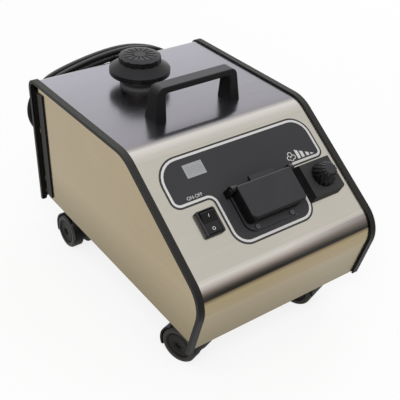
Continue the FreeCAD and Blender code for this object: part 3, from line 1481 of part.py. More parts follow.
def castor_wheel(name, side):
    inner = WEB_HALF + WEB_GAP
    outer = inner + WHEEL_WIDE
    bore = AXLE_R + RUN_GAP
    points = [
        (bore, inner),
        (WHEEL_R - WHEEL_BEVEL, inner),
        (WHEEL_R, inner + WHEEL_BEVEL),
        (WHEEL_R, outer - WHEEL_BEVEL),
        (WHEEL_R - WHEEL_BEVEL, outer),
        (WHEEL_RECESS_R, outer),
        (WHEEL_RECESS_R - WHEEL_RECESS_DEEP, outer - WHEEL_RECESS_DEEP),
        (bore, outer - WHEEL_RECESS_DEEP),
    ]
    wheel = turned_form(points)
    wheel.rotate(V(), Y_AXIS, 90)
    wheel.translate(V(0, CASTOR_TRAIL, WHEEL_R))
    if side == "left":
        wheel = mirrored(wheel)
    return place_castor(wheel, name)


# Nodes
def nodes():
    found = {
        "cover_shell": cover_shell(),
        "base_tray": base_tray(),
        "left_side_panel": mirrored(side_panel()),
        "right_side_panel": side_panel(),
        "left_edge_trim": mirrored(edge_trim()),
        "right_edge_trim": edge_trim(),
        "rear_edgings": [mirrored(rear_edging()), rear_edging()],
        "case_screws": case_screws(),
        "carry_handle": carry_handle(),
        "handle_screws": handle_screws(),
        "panel_label": panel_label(),
        "display_window": display_window(),
        "control_board": control_board(),
        "switch_body": switch_body(),
        "switch_rocker": switch_rocker(),
        "regulator_block": regulator_block(),
        "regulator_knob": regulator_knob(),
        "regulator_spindle": regulator_spindle(),
        "needle_valve": needle_valve(),
        "socket_housing": socket_housing(),
        "socket_insert": socket_insert(),
        "steam_fitting": steam_fitting(),
        "socket_screws": socket_screws(),
        "socket_cover": socket_cover(),
        "socket_hinge_pin": socket_hinge_pin(),
        "socket_spring": socket_spring(),
        "filler_neck": filler_neck(),
        "neck_collar": neck_collar(),
        "cap_plug": cap_plug(),
        "cap_gasket": cap_gasket(),
        "cap_skirt": cap_skirt(),
        "cap_knob": cap_knob(),
        "boiler": boiler(),
        "boiler_cradle": boiler_cradle(),
        "heating_element": heating_element(),
        "safety_valve": safety_valve(),
        "pressure_switch": pressure_switch(),
        "solenoid_valve": solenoid_valve(),
        "steam_pipes": steam_pipes(),
        "terminal_block": terminal_block(),
        "cord_gland": cord_gland(),
        "cord_hook": cord_hook(),
        "mains_cord_tail": mains_cord_tail(),
        "mains_cord_coil": mains_cord_coil(),
        "mains_cord_end": mains_cord_end(),
        "plug_body": plug_body(),
        "plug_pins": plug_pins(),
        "castor_stems": castor_stems(),
    }
    for name in CASTOR_TURN_DEG:
        found[name + "_hood"] = castor_hood(name)
        for side in ("left", "right"):
            found[name + "_wheel_" + side] = castor_wheel(name, side)
    return found


def nose_y():
    points = [V(0, y, z) for y, z in profile((0,) * 4, FRONT_FOOT[1], REAR_FOOT[1])]
    arc = rounded_edges(points, (0, NOSE_R, BEND_R, REAR_R, 0), False)[1]
    return arc.BoundBox.YMin


def main():
    os.makedirs("parts", exist_ok=True)
    centre = V(0, -(nose_y() + HOOK_TIP_Y) / 2, 0)
    print("shift in Y", round(centre.y, 3))
    for name, shape in nodes().items():
        if isinstance(shape, list):
            shape = Part.makeCompound(shape)
        shape.translate(centre)
        shape.exportStep("parts/" + name + ".step")
        valid = "ok" if shape.isValid() else "NOT VALID"
        print(name, valid, len(shape.Solids), round(shape.Volume))


main()
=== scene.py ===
"""Looks of the jewelry steam cleaner: camera, mains lead, finishes, small details, floor and light."""
import math

import bmesh
import bpy
from mathutils import Matrix, Vector


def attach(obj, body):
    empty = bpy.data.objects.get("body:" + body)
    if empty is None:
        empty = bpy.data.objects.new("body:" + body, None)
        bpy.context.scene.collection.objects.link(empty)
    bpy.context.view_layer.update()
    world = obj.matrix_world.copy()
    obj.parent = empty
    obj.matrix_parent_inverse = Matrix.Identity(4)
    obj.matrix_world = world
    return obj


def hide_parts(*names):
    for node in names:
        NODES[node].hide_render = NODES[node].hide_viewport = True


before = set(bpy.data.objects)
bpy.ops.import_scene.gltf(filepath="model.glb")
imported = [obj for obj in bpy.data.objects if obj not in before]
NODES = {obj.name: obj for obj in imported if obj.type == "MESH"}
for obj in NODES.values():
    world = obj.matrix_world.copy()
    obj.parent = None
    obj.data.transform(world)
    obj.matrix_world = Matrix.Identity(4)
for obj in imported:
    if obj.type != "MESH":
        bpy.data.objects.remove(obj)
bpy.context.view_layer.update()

# Sizes repeated from the part's source, in millimetres
MM = 0.001
SHIFT = Vector((0, -22.648, 0))
SLOPE = math.atan2(116.4, 166.3)
SLOPE_TOP = Vector((0, -33.652, 252.588))
REAR_TOP = Vector((0, 212.0, 254.8))
REAR_FOOT = Vector((0, 195.8, 62.0))
STEEL_INSET = 2.7
LABEL_LEFT, LABEL_RIGHT, LABEL_TOP = -118.0, 125.0, 22.0
WING_LEFT, WING_RIGHT = 88.0, 87.0
LOBE_LEFT, LOBE_RIGHT, LOBE_FOOT = -62.5, 67.0, 158.0
LABEL_RADII = (33.0, 28.0, 11.0, 7.0, 23.0, 23.0, 7.0, 13.0)
LABEL_THICK = 0.4
LCD_U, LCD_S, LCD_PROUD = (-80.0, -51.0), (36.5, 55.0), 0.5
SWITCH_U, SWITCH_S = -83.0, 114.5
ROCKER_RIDGE, ROCKER_TILT = 5.0, math.radians(10)
SOCKET_SCREWS = [(u, s) for u in (-26.7, 28.9) for s in (87.0, 141.4)]
SOCKET_SCREW_TOP = 5.0
CORD_R = 4.1
GLAND_X, GLAND_UP, GLAND_REACH = 122.0, 29.0, 19.0
COIL_LEFT, COIL_TOP = (-140.0, 192.0), (8.0, 261.5)
COIL_RIGHT, COIL_FOOT = (124.0, 186.0), (-18.0, 124.0)
COIL_Y = (228.0, 219.0)
COIL_STEP, COIL_TURNS_IN, COIL_END_R = 9.0, 2, 34.0
QUARTERS, COIL_POINTS = 4, 16
TAIL_POINTS = (
    (122.0, 245.1, 86.8),
    (106.1, 270.8, 95.6),
    (80.1, 279.7, 111.3),
    (55.1, 268.1, 125.7),
    (37.6, 240.6, 128.8),
    (15.0, 228.0, 124.0),
)
END_POINTS = ((-62.0, 219.0, 124.0), (-90.0, 220.0, 98.0))
PLUG_TOP = (-92.0, 221.0, 66.0)
CORD_SMOOTH = 6
CASTORS = {
    "front_left": (-104.5, -151.5, 18.0),
    "front_right": (92.0, -151.5, 18.0),
    "rear_left": (-110.0, 127.0, 0.0),
    "rear_right": (110.0, 127.0, -15.0),
}
CASTOR_TRAIL, WHEEL_R = 18.0, 25.0

# Camera at the photograph's angle: degrees, metres, millimetres of lens and shares of the picture
VIEW_AZIMUTH, VIEW_RISE, VIEW_ROLL = -37.05, 32.89, 2.51
VIEW_PLACE = (-0.56628, -0.732258, 0.72942)
VIEW_LENS, VIEW_SENSOR = 70.76, 36
VIEW_SHIFT = (0.0472, -0.04095)


def row(point):
    return (Vector(point) + SHIFT) * MM


def on_slope(u, s, h):
    down = Vector((0, -math.cos(SLOPE), -math.sin(SLOPE)))
    out = Vector((0, -math.sin(SLOPE), math.cos(SLOPE)))
    return SLOPE_TOP + Vector((u, 0, 0)) + down * s + out * h


# Camera
def make_camera():
    azimuth, rise, roll = math.radians(VIEW_AZIMUTH), math.radians(VIEW_RISE), math.radians(VIEW_ROLL)
    back = Vector((math.sin(azimuth) * math.cos(rise), -math.cos(azimuth) * math.cos(rise), math.sin(rise)))
    right = Vector((math.cos(azimuth), math.sin(azimuth), 0))
    up = back.cross(right)
    side = right * math.cos(roll) + up * math.sin(roll)
    above = up * math.cos(roll) - right * math.sin(roll)
    place = Matrix((side, above, back)).transposed().to_4x4()
    place.translation = VIEW_PLACE
    view = bpy.data.cameras.new("view")
    view.sensor_width = VIEW_SENSOR
    view.lens = VIEW_LENS
    view.shift_x, view.shift_y = VIEW_SHIFT
    holder = bpy.data.objects.new("view", view)
    holder.matrix_world = place
    bpy.context.scene.collection.objects.link(holder)
    bpy.context.scene.camera = holder


# Mains lead
def rear_out():
    lean = math.atan2(REAR_TOP.y - REAR_FOOT.y, REAR_TOP.z - REAR_FOOT.z)
    return Vector((0, math.cos(lean), -math.sin(lean)))


def gland_point(out):
    up = (REAR_TOP - REAR_FOOT).normalized()
    outward = rear_out()
    on_wall = REAR_FOOT + up * (GLAND_UP / up.z) - outward * STEEL_INSET
    on_wall += up * ((REAR_FOOT.z + GLAND_UP - on_wall.z) / up.z)
    return on_wall + Vector((GLAND_X, 0, 0)) + outward * out


def coil_point(turn):
    """One point of the hung coil, turn counted in quarters from its foot."""
    middle = QUARTERS * COIL_TURNS_IN
    inward = COIL_STEP * (turn if turn <= middle else 2 * middle - turn) / QUARTERS
    layer = min(max((turn - middle + 1) / 2, 0), 1)
    quarter = int(turn) % QUARTERS
    middle_x = COIL_FOOT[0] if quarter in (0, 3) else COIL_TOP[0]
    middle_z = COIL_LEFT[1] if quarter in (0, 1) else COIL_RIGHT[1]
    end_x = COIL_LEFT[0] if quarter in (0, 1) else COIL_RIGHT[0]
    end_z = COIL_FOOT[1] if quarter in (0, 3) else COIL_TOP[1]
    wide = abs(end_x - middle_x) - COIL_END_R
    tall = abs(end_z - middle_z) - COIL_END_R
    angle = -math.pi / 2 * (1 + turn)
    across, along = math.cos(angle), math.sin(angle)
    reach = math.hypot(wide * across, tall * along)
    bend = wide ** 2 * tall ** 2 / reach ** 3 + COIL_END_R - inward
    out = COIL_END_R - inward + bend * (1 / math.cos(math.pi / COIL_POINTS) - 1)
    x = middle_x + wide ** 2 * across / reach + out * across
    z = middle_z + tall ** 2 * along / reach + out * along
    return (x, COIL_Y[0] + (COIL_Y[1] - COIL_Y[0]) * layer, z)


def make_lead():
    points = [gland_point(GLAND_REACH)] + list(TAIL_POINTS)
    steps = 2 * COIL_TURNS_IN * COIL_POINTS
    points += [coil_point(QUARTERS * i / COIL_POINTS) for i in range(1, steps)]
    points += list(END_POINTS) + [PLUG_TOP]
    curve = bpy.data.curves.new("mains_cord", "CURVE")
    curve.dimensions = "3D"
    curve.bevel_depth = 1
    curve.bevel_resolution = CORD_SMOOTH
    curve.resolution_u = CORD_SMOOTH
    curve.use_fill_caps = True
    spline = curve.splines.new("NURBS")
    spline.points.add(len(points) - 1)
    for spot, point in zip(spline.points, points):
        spot.co = (*row(point), 1)
        spot.radius = CORD_R * MM
    spline.order_u = 3
    spline.use_endpoint_u = True
    lead = bpy.data.objects.new("mains_cord", curve)
    bpy.context.scene.collection.objects.link(lead)
    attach(lead, "chassis")
    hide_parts("mains_cord_tail", "mains_cord_coil", "mains_cord_end")
    exit_at = row(gland_point(GLAND_REACH))
    return lead


make_camera()
lead = make_lead()


# Shader maths
SCREEN_FULL, SCREEN_KNEE = 255, 10
SCREEN_SLOPE, SCREEN_OFFSET, SCREEN_POWER = 12.92, 0.055, 2.4
HALF = 0.5
EVEN = (1, 1, 1)
RAMP_START = 0.5
METAL, NO_METAL = 1.0, 0.0
MIX_SHARE, MIX_FIRST, MIX_SECOND, MIX_RESULT = 0, 6, 7, 2


def straight(value):
    share = value / SCREEN_FULL
    if value <= SCREEN_KNEE:
        return share / SCREEN_SLOPE
    return ((share + SCREEN_OFFSET) / (1 + SCREEN_OFFSET)) ** SCREEN_POWER


def tone(red, green, blue):
    """A colour as a screen shows it, 0 to 255, in the renderer's own scale."""
    return (straight(red), straight(green), straight(blue), 1)


def lighter(colour, step):
    return tone(*[value + step for value in colour])


class Field:
    """A value that varies over a surface."""

    def __init__(self, finish, socket):
        self.finish = finish
        self.socket = socket

    def work(self, operation, first, second=0.0, clamp=False):
        settings = {"operation": operation, "use_clamp": clamp}
        return self.finish.node("ShaderNodeMath", settings, {0: first, 1: second})

    def __add__(self, other):
        return self.work("ADD", self, other)

    def __radd__(self, other):
        return self.work("ADD", other, self)

    def __sub__(self, other):
        return self.work("SUBTRACT", self, other)

    def __rsub__(self, other):
        return self.work("SUBTRACT", other, self)

    def __mul__(self, other):
        return self.work("MULTIPLY", self, other)

    def __gt__(self, other):
        return self.work("GREATER_THAN", self, other)

    def clamp(self):
        return self.work("ADD", self, 0.0, True)

    def wave(self):
        return self.work("SINE", self)

    def lifted(self):
        """From between minus one and one to between nothing and one."""
        return self * HALF + HALF

    def rise(self, start, steepness):
        """Nothing up to a start, and from there on growing to one."""
        return ((self - start) * steepness).clamp()

    def fall(self, start, steepness):
        """Nothing down to a start, and below it growing to one."""
        return ((start - self) * steepness).clamp()

    def swing(self, share):
        """How far a noise is from its middle, times a share."""
        return (self - HALF) * share


class Finish:
    """One material and the nodes that make it."""

    def __init__(self, name):
        self.material = bpy.data.materials.new(name)
        self.material.use_nodes = True
        self.tree = self.material.node_tree
        self.tree.nodes.clear()
        self.end = self.tree.nodes.new("ShaderNodeOutputMaterial")

    def node(self, kind, settings=None, inputs=None, output=0):
        made = self.tree.nodes.new(kind)
        for key, value in (settings or {}).items():
            if key == "stops":
                self.set_stops(made.color_ramp, value)
            else:
                setattr(made, key, value)
        for key, value in (inputs or {}).items():
            if isinstance(value, Field):
                self.tree.links.new(value.socket, made.inputs[key])
            else:
                made.inputs[key].default_value = value
        return Field(self, made.outputs[output])

    @staticmethod
    def set_stops(ramp, stops):
        while len(ramp.elements) < len(stops):
            ramp.elements.new(RAMP_START)
        for element, (at, colour) in zip(ramp.elements, stops):
            element.position = at
            element.color = colour

    def place(self):
        return self.node("ShaderNodeTexCoord", output="Object")

    def facing(self):
        return self.parts(self.node("ShaderNodeTexCoord", output="Normal"))

    def parts(self, vector):
        made = self.tree.nodes.new("ShaderNodeSeparateXYZ")
        self.tree.links.new(vector.socket, made.inputs[0])
        return [Field(self, out) for out in made.outputs]

    def noise(self, scale, stretch=EVEN, detail=3.0, roughness=0.55):
        spot = self.node("ShaderNodeVectorMath", {"operation": "MULTIPLY"}, {0: self.place(), 1: stretch})
        inputs = {"Vector": spot, "Scale": scale, "Detail": detail, "Roughness": roughness}
        return self.node("ShaderNodeTexNoise", {}, inputs)

    def blend(self, share, first, second):
        settings = {"data_type": "RGBA", "clamp_factor": True}
        inputs = {MIX_SHARE: share, MIX_FIRST: first, MIX_SECOND: second}
        return self.node("ShaderNodeMix", settings, inputs, MIX_RESULT)

    def ramp(self, at, stops):
        return self.node("ShaderNodeValToRGB", {"stops": stops}, {0: at})

    def done(self, colour, rough, metallic=NO_METAL, height=None, depth=0.0, **constant):
        inputs = {"Base Color": colour, "Roughness": rough, "Metallic": metallic}
        if height is not None:
            bump = {"Height": height, "Strength": 1.0, "Distance": depth}
            inputs["Normal"] = self.node("ShaderNodeBump", {}, bump)
        for key, value in constant.items():
            inputs[key.replace("_", " ")] = value
        shader = self.node("ShaderNodeBsdfPrincipled", {}, inputs)
        self.tree.links.new(shader.socket, self.end.inputs[0])
        return self.material


# Brushed sheet, its tone with painted reflection and shade. A start has its steepness with it, over a place
# in metres or over how far a face looks up
REAR_START, FLAT_START, REAR_SHARE = (-0.06, 4), (0.985, 100), 0.75
FOOT_START, FOOT_SHARE = (0.13, 12), 0.7
NOSE_START, NOSE_END, NOSE_RIGHT, NOSE_SHARE = (0.45, 8), (0.79, 14), (0.0, 7), 0.62
REAR_REFLECTION_TONE, FOOT_REFLECTION_TONE, NOSE_REFLECTION_TONE = (186, 185, 195), (98, 88, 52), (84, 76, 72)
STREAK_LIGHT, STREAK_DARK = (235, 232, 226), (92, 88, 84)
STREAK_FINE, STREAK_LONG, STREAK_ROUGH, STREAK_SHARE = 900, 160, 0.6, 0.1
SHEET_CLOUD, SHEET_CLOUD_SHARE = 5, 0.16
SHEET_ROUGH, SHEET_ROUGH_SWING, SHEET_DEPTH = 0.24, 0.08, 0.00001


def grained_steel(name, grain, painted_reflection_bands):
    """Brushed sheet: its streaks follow the grain, and a ramp of painted reflection and shade gives its
    tone by the way that it faces.
    """
    f = Finish(name)
    z_face = f.facing()[2]
    x, y, z = f.parts(f.place())
    stops = [((height + 1) / 2, tone(*colour)) for height, colour in painted_reflection_bands]
    base = f.ramp(z_face.lifted().clamp(), stops)
    streak = f.noise(STREAK_FINE, grain, detail=2.0, roughness=STREAK_ROUGH)
    long_streak = f.noise(STREAK_LONG, grain, detail=3.0, roughness=STREAK_ROUGH)
    cloud = f.noise(SHEET_CLOUD, detail=2.0, roughness=HALF)
    # Painted reflection and shade: a lighter bluish tone towards the rear of the flat top, a darker warm
    # tone towards the foot, and a darker tone on the right of the bend from slope to front
    rear_reflection = y.rise(*REAR_START) * z_face.rise(*FLAT_START) * REAR_SHARE
    nose_reflection = z_face.rise(*NOSE_START) * z_face.fall(*NOSE_END) * x.rise(*NOSE_RIGHT) * NOSE_SHARE
    base = f.blend(rear_reflection, base, tone(*REAR_REFLECTION_TONE))
    base = f.blend(z.fall(*FOOT_START) * FOOT_SHARE, base, tone(*FOOT_REFLECTION_TONE))
    base = f.blend(nose_reflection, base, tone(*NOSE_REFLECTION_TONE))
    shade = streak.swing(STREAK_SHARE) + long_streak.swing(STREAK_SHARE) + cloud.swing(SHEET_CLOUD_SHARE)
    light = f.blend(shade.clamp(), base, tone(*STREAK_LIGHT))
    dark = f.blend((0 - shade).clamp(), light, tone(*STREAK_DARK))
    rough = SHEET_ROUGH + long_streak.swing(SHEET_ROUGH_SWING) + cloud.swing(SHEET_ROUGH_SWING)
    return f.done(dark, rough, METAL, streak, SHEET_DEPTH)


# Other metals
METAL_GRIT, METAL_GRIT_SHARE, METAL_CLOUD, METAL_CLOUD_SHARE = 220.0, 0.35, 18, 0.2
METAL_DARKER, METAL_ROUGH_SWING, METAL_DEPTH = 0.72, 0.18, 0.00006
STAIN_START = (0.45, 3)


def plain_metal(name, colour, rough, scale=METAL_GRIT, stretch=EVEN, stain=None):
    f = Finish(name)
    grit = f.noise(scale, stretch, detail=4.0)
    cloud = f.noise(METAL_CLOUD)
    shade = (grit * METAL_GRIT_SHARE + cloud * METAL_CLOUD_SHARE).clamp()
    base = f.blend(shade, tone(*colour), tone(*[METAL_DARKER * value for value in colour]))
    if stain:
        base = f.blend(cloud.rise(*STAIN_START), base, tone(*stain))
    return f.done(base, rough + grit.swing(METAL_ROUGH_SWING), METAL, grit, METAL_DEPTH)


# Moulded plastic and rubber
MOULD_GRAIN, MOULD_DEPTH, MOULD_WORN, MOULD_PAINTED_SHEEN = 1400.0, 0.00005, 0.25, (84, 83, 86)
MOULD_CLOUD, RUB_START, RUB_LIGHTER = 30, (0.52, 4), 12
SPECK_START, SPECK_SHARE, SPECK_LIGHTER = 0.55, 0.6, 18
PAINTED_SHEEN_SHARE, PAINTED_SHEEN_SWING = 0.9, 0.3
MOULD_CLOUD_SWING, MOULD_GRIT_SWING = 0.16, 0.1
SHEEN = 0.14


def moulded(name, colour, rough, grain=MOULD_GRAIN, depth=MOULD_DEPTH, worn=MOULD_WORN, dust_and_painted_sheen=MOULD_PAINTED_SHEEN):
    """Moulded plastic or rubber: a fine grain, slightly rubbed patches, and a painted sheen that lightens
    the faces which look up.
    """
    f = Finish(name)
    up = f.facing()[2].clamp()
    grit = f.noise(grain, detail=2.0)
    cloud = f.noise(MOULD_CLOUD, detail=3.0)
    base = f.blend(cloud.rise(*RUB_START) * worn, tone(*colour), lighter(colour, RUB_LIGHTER))
    grey = f.blend((grit - SPECK_START).clamp() * SPECK_SHARE, base, lighter(colour, SPECK_LIGHTER))
    # Painted sheen: faces that look up are blended towards a lighter grey, patchy with the cloud, as if lit
    # from above
    with_painted_sheen = f.blend(up * up * up * up * (PAINTED_SHEEN_SHARE + cloud.swing(PAINTED_SHEEN_SWING)), grey, tone(*dust_and_painted_sheen))
    rough = rough + cloud.swing(MOULD_CLOUD_SWING) + grit.swing(MOULD_GRIT_SWING)
    return f.done(with_painted_sheen, rough, NO_METAL, grit, depth, Specular_IOR_Level=SHEEN)


# Edge trim
RIB_STEP, RIB_SHARE, RIB_DEPTH = 0.0028, 0.8, 0.0003
RIB_TONES, TRIM_SPECK, TRIM_SHINE = ((9, 9, 8), (34, 32, 28)), (70, 68, 62), (104, 104, 102)
TRIM_GRIT, TRIM_SPECK_SHARE, TRIM_BUMP_SHARE = 900, 0.7, 0.2
SHINE_SHARE, SHINE_RIB_SHARE, SHINE_START = 0.2, 0.16, (0.08, 6)
TRIM_ROUGH, TRIM_ROUGH_SWING = 0.42, 0.2


def ribbed_trim():
    """Black profile with fine cross ribs on the faces that look up, their painted light and shade in
    lighter and darker stripes, and a painted sheen on those faces, lighter above than at the foot.
    """
    f = Finish("ribbed_trim")
    x, y, z = f.parts(f.place())
    along = (y * math.cos(SLOPE) + z * math.sin(SLOPE)) * (2 * math.pi / RIB_STEP)
    ribs = along.wave().lifted()
    grit = f.noise(TRIM_GRIT)
    up = f.facing()[2].clamp()
    # Painted light and shade on the ribs: lighter crests and darker hollows where faces look up
    base = f.blend(ribs * up * RIB_SHARE, tone(*RIB_TONES[0]), tone(*RIB_TONES[1]))
    base = f.blend((grit - HALF).clamp() * TRIM_SPECK_SHARE, base, tone(*TRIM_SPECK))
    # Painted sheen: faces that look up turn lighter grey, more so higher up
    shine = up * up * up * (SHINE_SHARE + ribs * SHINE_RIB_SHARE) * z.rise(*SHINE_START)
    base = f.blend(shine, base, tone(*TRIM_SHINE))
    bump = ribs * up * RIB_SHARE + grit * TRIM_BUMP_SHARE
    rough = TRIM_ROUGH + grit.swing(TRIM_ROUGH_SWING)
    return f.done(base, rough, NO_METAL, bump, RIB_DEPTH, Specular_IOR_Level=SHEEN)


# Panel film, its prints and the display
FILM_GRIT, FILM_CLOUD, FILM_TONES = 1700, 9, ((52, 52, 54), (64, 64, 66))
FILM_ROUGH, FILM_ROUGH_SWING, FILM_DEPTH = 0.46, 0.14, 0.00003
INK_GRIT, INK_SPECK_START, INK_SPECK_SHARE, INK_DARKER = 1500, 0.35, 0.6, 0.86
INK_ROUGH, INK_ROUGH_SWING, INK_DEPTH = 0.5, 0.1, 0.00002
GLASS_STEP, GLASS_CLOUD, GLASS_TONES = 0.0009, 60, ((146, 147, 148), (168, 169, 169))
GLASS_GRID_SHARE, GLASS_CLOUD_SHARE = 0.22, 0.3
GLASS_ROUGH, GLASS_ROUGH_SHARE, GLASS_SHEEN = 0.2, 0.06, 0.3


def printed_film():
    f = Finish("label_film")
    grit = f.noise(FILM_GRIT, detail=2.0)
    cloud = f.noise(FILM_CLOUD, detail=2.0)
    base = f.blend((cloud * HALF + grit.swing(HALF)).clamp(), tone(*FILM_TONES[0]), tone(*FILM_TONES[1]))
    rough = FILM_ROUGH + grit.swing(FILM_ROUGH_SWING)
    return f.done(base, rough, NO_METAL, grit, FILM_DEPTH, Specular_IOR_Level=SHEEN)


def print_ink(name, colour):
    f = Finish(name)
    grit = f.noise(INK_GRIT, detail=2.0)
    speck = (grit - INK_SPECK_START).clamp() * INK_SPECK_SHARE
    base = f.blend(speck, tone(*colour), tone(*[INK_DARKER * value for value in colour]))
    return f.done(base, INK_ROUGH + grit.swing(INK_ROUGH_SWING), NO_METAL, grit, INK_DEPTH)


def display_glass():
    f = Finish("display_glass")
    x, y, z = f.parts(f.place())
    per_step = 2 * math.pi / GLASS_STEP
    grid = ((x * per_step).wave() * (z * per_step).wave()).lifted()
    cloud = f.noise(GLASS_CLOUD, detail=2.0)
    shade = grid * GLASS_GRID_SHARE + cloud * GLASS_CLOUD_SHARE
    base = f.blend(shade, tone(*GLASS_TONES[0]), tone(*GLASS_TONES[1]))
    return f.done(base, GLASS_ROUGH + cloud * GLASS_ROUGH_SHARE, Specular_IOR_Level=GLASS_SHEEN)


# Circuit board and castor wheels
TRACK_SCALE, TRACK_STRETCH, TRACK_START, TRACK_SHARE = 260, (1, 0.2, 1), 0.56, 0.7
BOARD_TONES, BOARD_ROUGH, BOARD_ROUGH_SWING, TRACK_DEPTH = ((24, 92, 52), (44, 128, 78)), 0.4, 0.2, 0.0001
TYRE_GRIT, TYRE_DUST, TYRE_DUST_ROUGH, TYRE_DUST_START = 700, 55, 0.65, (0.45, 1.6)
TYRE_TONES, TYRE_ROUGH, TYRE_ROUGH_SWING, TYRE_DEPTH = ((20, 19, 17), (52, 49, 43)), 0.5, 0.3, 0.00008


def circuit_board():
    f = Finish("circuit_board")
    tracks = f.noise(TRACK_SCALE, TRACK_STRETCH, detail=1.0)
    base = f.blend((tracks > TRACK_START) * TRACK_SHARE, tone(*BOARD_TONES[0]), tone(*BOARD_TONES[1]))
    return f.done(base, BOARD_ROUGH + tracks.swing(BOARD_ROUGH_SWING), NO_METAL, tracks, TRACK_DEPTH)


def wheel_plastic():
    f = Finish("wheel_plastic")
    grit = f.noise(TYRE_GRIT, detail=3.0)
    dust_and_painted_sheen = f.noise(TYRE_DUST, detail=4.0, roughness=TYRE_DUST_ROUGH)
    base = f.blend(dust_and_painted_sheen.rise(*TYRE_DUST_START) * HALF, tone(*TYRE_TONES[0]), tone(*TYRE_TONES[1]))
    rough = TYRE_ROUGH + dust_and_painted_sheen.swing(TYRE_ROUGH_SWING)
    return f.done(base, rough, NO_METAL, grit, TYRE_DEPTH, Specular_IOR_Level=SHEEN)


# Painted reflection and shade on the sheet: its tone by the height of its face's direction, from -1
# downwards to 1 upwards, with a dark painted reflection where the slope bends into the front
COVER_REFLECTION_BANDS = [
    (-1.0, (150, 140, 116)), (-0.24, (164, 149, 118)), (0.22, (164, 149, 118)), (0.32, (120, 106, 82)),
    (0.35, (44, 42, 38)), (0.42, (44, 42, 38)), (0.49, (76, 70, 64)), (0.56, (122, 113, 106)),
    (0.64, (172, 163, 156)), (0.74, (208, 203, 196)), (0.82, (188, 184, 173)), (0.88, (196, 192, 184)),
    (0.96, (216, 212, 206)), (0.993, (144, 141, 144)), (1.0, (146, 144, 150)),
]
# Painted reflection and shade on the side panels: darker where a face looks down, lighter where it looks up
SIDE_REFLECTION_BANDS = [(-1.0, (150, 138, 112)), (0.0, (169, 154, 125)), (1.0, (180, 168, 142))]

FINISHES = {
    "cover": grained_steel("cover_steel", (0.02, 1, 1), COVER_REFLECTION_BANDS),
    "side": grained_steel("side_steel", (1, 0.02, 1), SIDE_REFLECTION_BANDS),
    "tray": plain_metal("tray_steel", (168, 168, 166), 0.42, scale=120.0, stretch=(1, 0.15, 1)),
    "dark": plain_metal("blackened_steel", (104, 104, 106), 0.35, scale=420.0),
    "bright": plain_metal("bright_steel", (214, 212, 208), 0.2, scale=420.0),
    "boiler": plain_metal("boiler_steel", (186, 182, 176), 0.3, scale=180.0, stretch=(0.1, 1, 1),
                          stain=(150, 128, 104)),
    "element": plain_metal("element_metal", (142, 126, 116), 0.4, scale=160.0, stain=(96, 70, 66)),
    "brass": plain_metal("machined_brass", (206, 170, 96), 0.28, scale=320.0),
    "copper": plain_metal("copper_pipe", (200, 128, 92), 0.3, scale=260.0, stain=(150, 88, 62)),
    # The last colour of each moulded finish is a painted sheen on its faces that look up
    "plastic": moulded("black_plastic", (8, 8, 9), 0.36),
    "cap": moulded("cap_plastic", (10, 10, 11), 0.32, depth=0.00004, dust_and_painted_sheen=(64, 63, 66)),
    "collar": moulded("collar_plastic", (84, 84, 84), 0.45),
    "block": moulded("block_plastic", (26, 26, 27), 0.5, dust_and_painted_sheen=(76, 76, 78)),
    "rocker": moulded("rocker_plastic", (10, 10, 11), 0.24, grain=2200.0, depth=0.00002, worn=0.1,
                      dust_and_painted_sheen=(60, 60, 61)),
    "insert": moulded("insert_plastic", (70, 70, 70), 0.55),
    "seal": moulded("seal_rubber", (96, 40, 30), 0.6, grain=600.0),
    "cord": moulded("cord_rubber", (12, 12, 12), 0.4, grain=500.0, depth=0.00004, worn=0.2,
                    dust_and_painted_sheen=(104, 104, 104)),
    "plug": moulded("plug_rubber", (16, 16, 17), 0.45, grain=800.0),
    "trim": ribbed_trim(),
    "film": printed_film(),
    "display": display_glass(),
    "board": circuit_board(),
    "wheel": wheel_plastic(),
    "ring": moulded("ring_plastic", (46, 44, 40), 0.42, grain=900.0),
    "white_ink": print_ink("white_ink", (206, 205, 203)),
    "line_ink": print_ink("line_ink", (34, 34, 35)),
    "mark_ink": print_ink("mark_ink", (224, 224, 222)),
    "segment_ink": print_ink("segment_ink", (134, 136, 136)),
    # Dark crosses on the socket screw heads: painted shade of their slots
    "recess": moulded("screw_recess", (40, 40, 42), 0.4),
}
NODE_FINISH = {
    "cover": ["cover_shell"],
    "side": ["left_side_panel", "right_side_panel"],
    "tray": ["base_tray", "boiler_cradle"],
    "bright": ["case_screws", "handle_screws", "regulator_spindle", "plug_pins", "castor_stems"],
    "dark": ["socket_screws", "socket_hinge_pin", "socket_spring"],
    "boiler": ["filler_neck", "boiler"],
    "element": ["heating_element"],
    "brass": ["needle_valve", "steam_fitting", "safety_valve", "solenoid_valve"],
    "copper": ["steam_pipes"],
    "plastic": ["carry_handle", "switch_body", "regulator_knob", "socket_housing", "socket_cover",
                "pressure_switch", "cord_gland", "cord_hook"],
    "cap": ["cap_plug", "cap_skirt", "cap_knob"],
    "block": ["regulator_block"],
    "collar": ["neck_collar"],
    "rocker": ["switch_rocker"],
    "insert": ["socket_insert", "terminal_block"],
    "seal": ["cap_gasket"],
    "plug": ["plug_body"],
    "trim": ["left_edge_trim", "right_edge_trim", "rear_edgings"],
    "film": ["panel_label"],
    "display": ["display_window"],
    "board": ["control_board"],
}
CASTOR_FINISH = {"_hood": "plastic", "_wheel_left": "wheel", "_wheel_right": "wheel"}


def finish_node(name, finish):
    NODES[name].data.materials.clear()
    NODES[name].data.materials.append(FINISHES[finish])


for finish_name, names in NODE_FINISH.items():
    for name in names:
        finish_node(name, finish_name)
for name in CASTORS:
    for part, finish_name in CASTOR_FINISH.items():
        finish_node(name + part, finish_name)
lead.data.materials.append(FINISHES["cord"])


# Detail pieces, in millimetres
CORNER_STEPS, CORNER_LEAST, DISC_STEPS, RING_STEPS = 7, 0.05, 28, 64


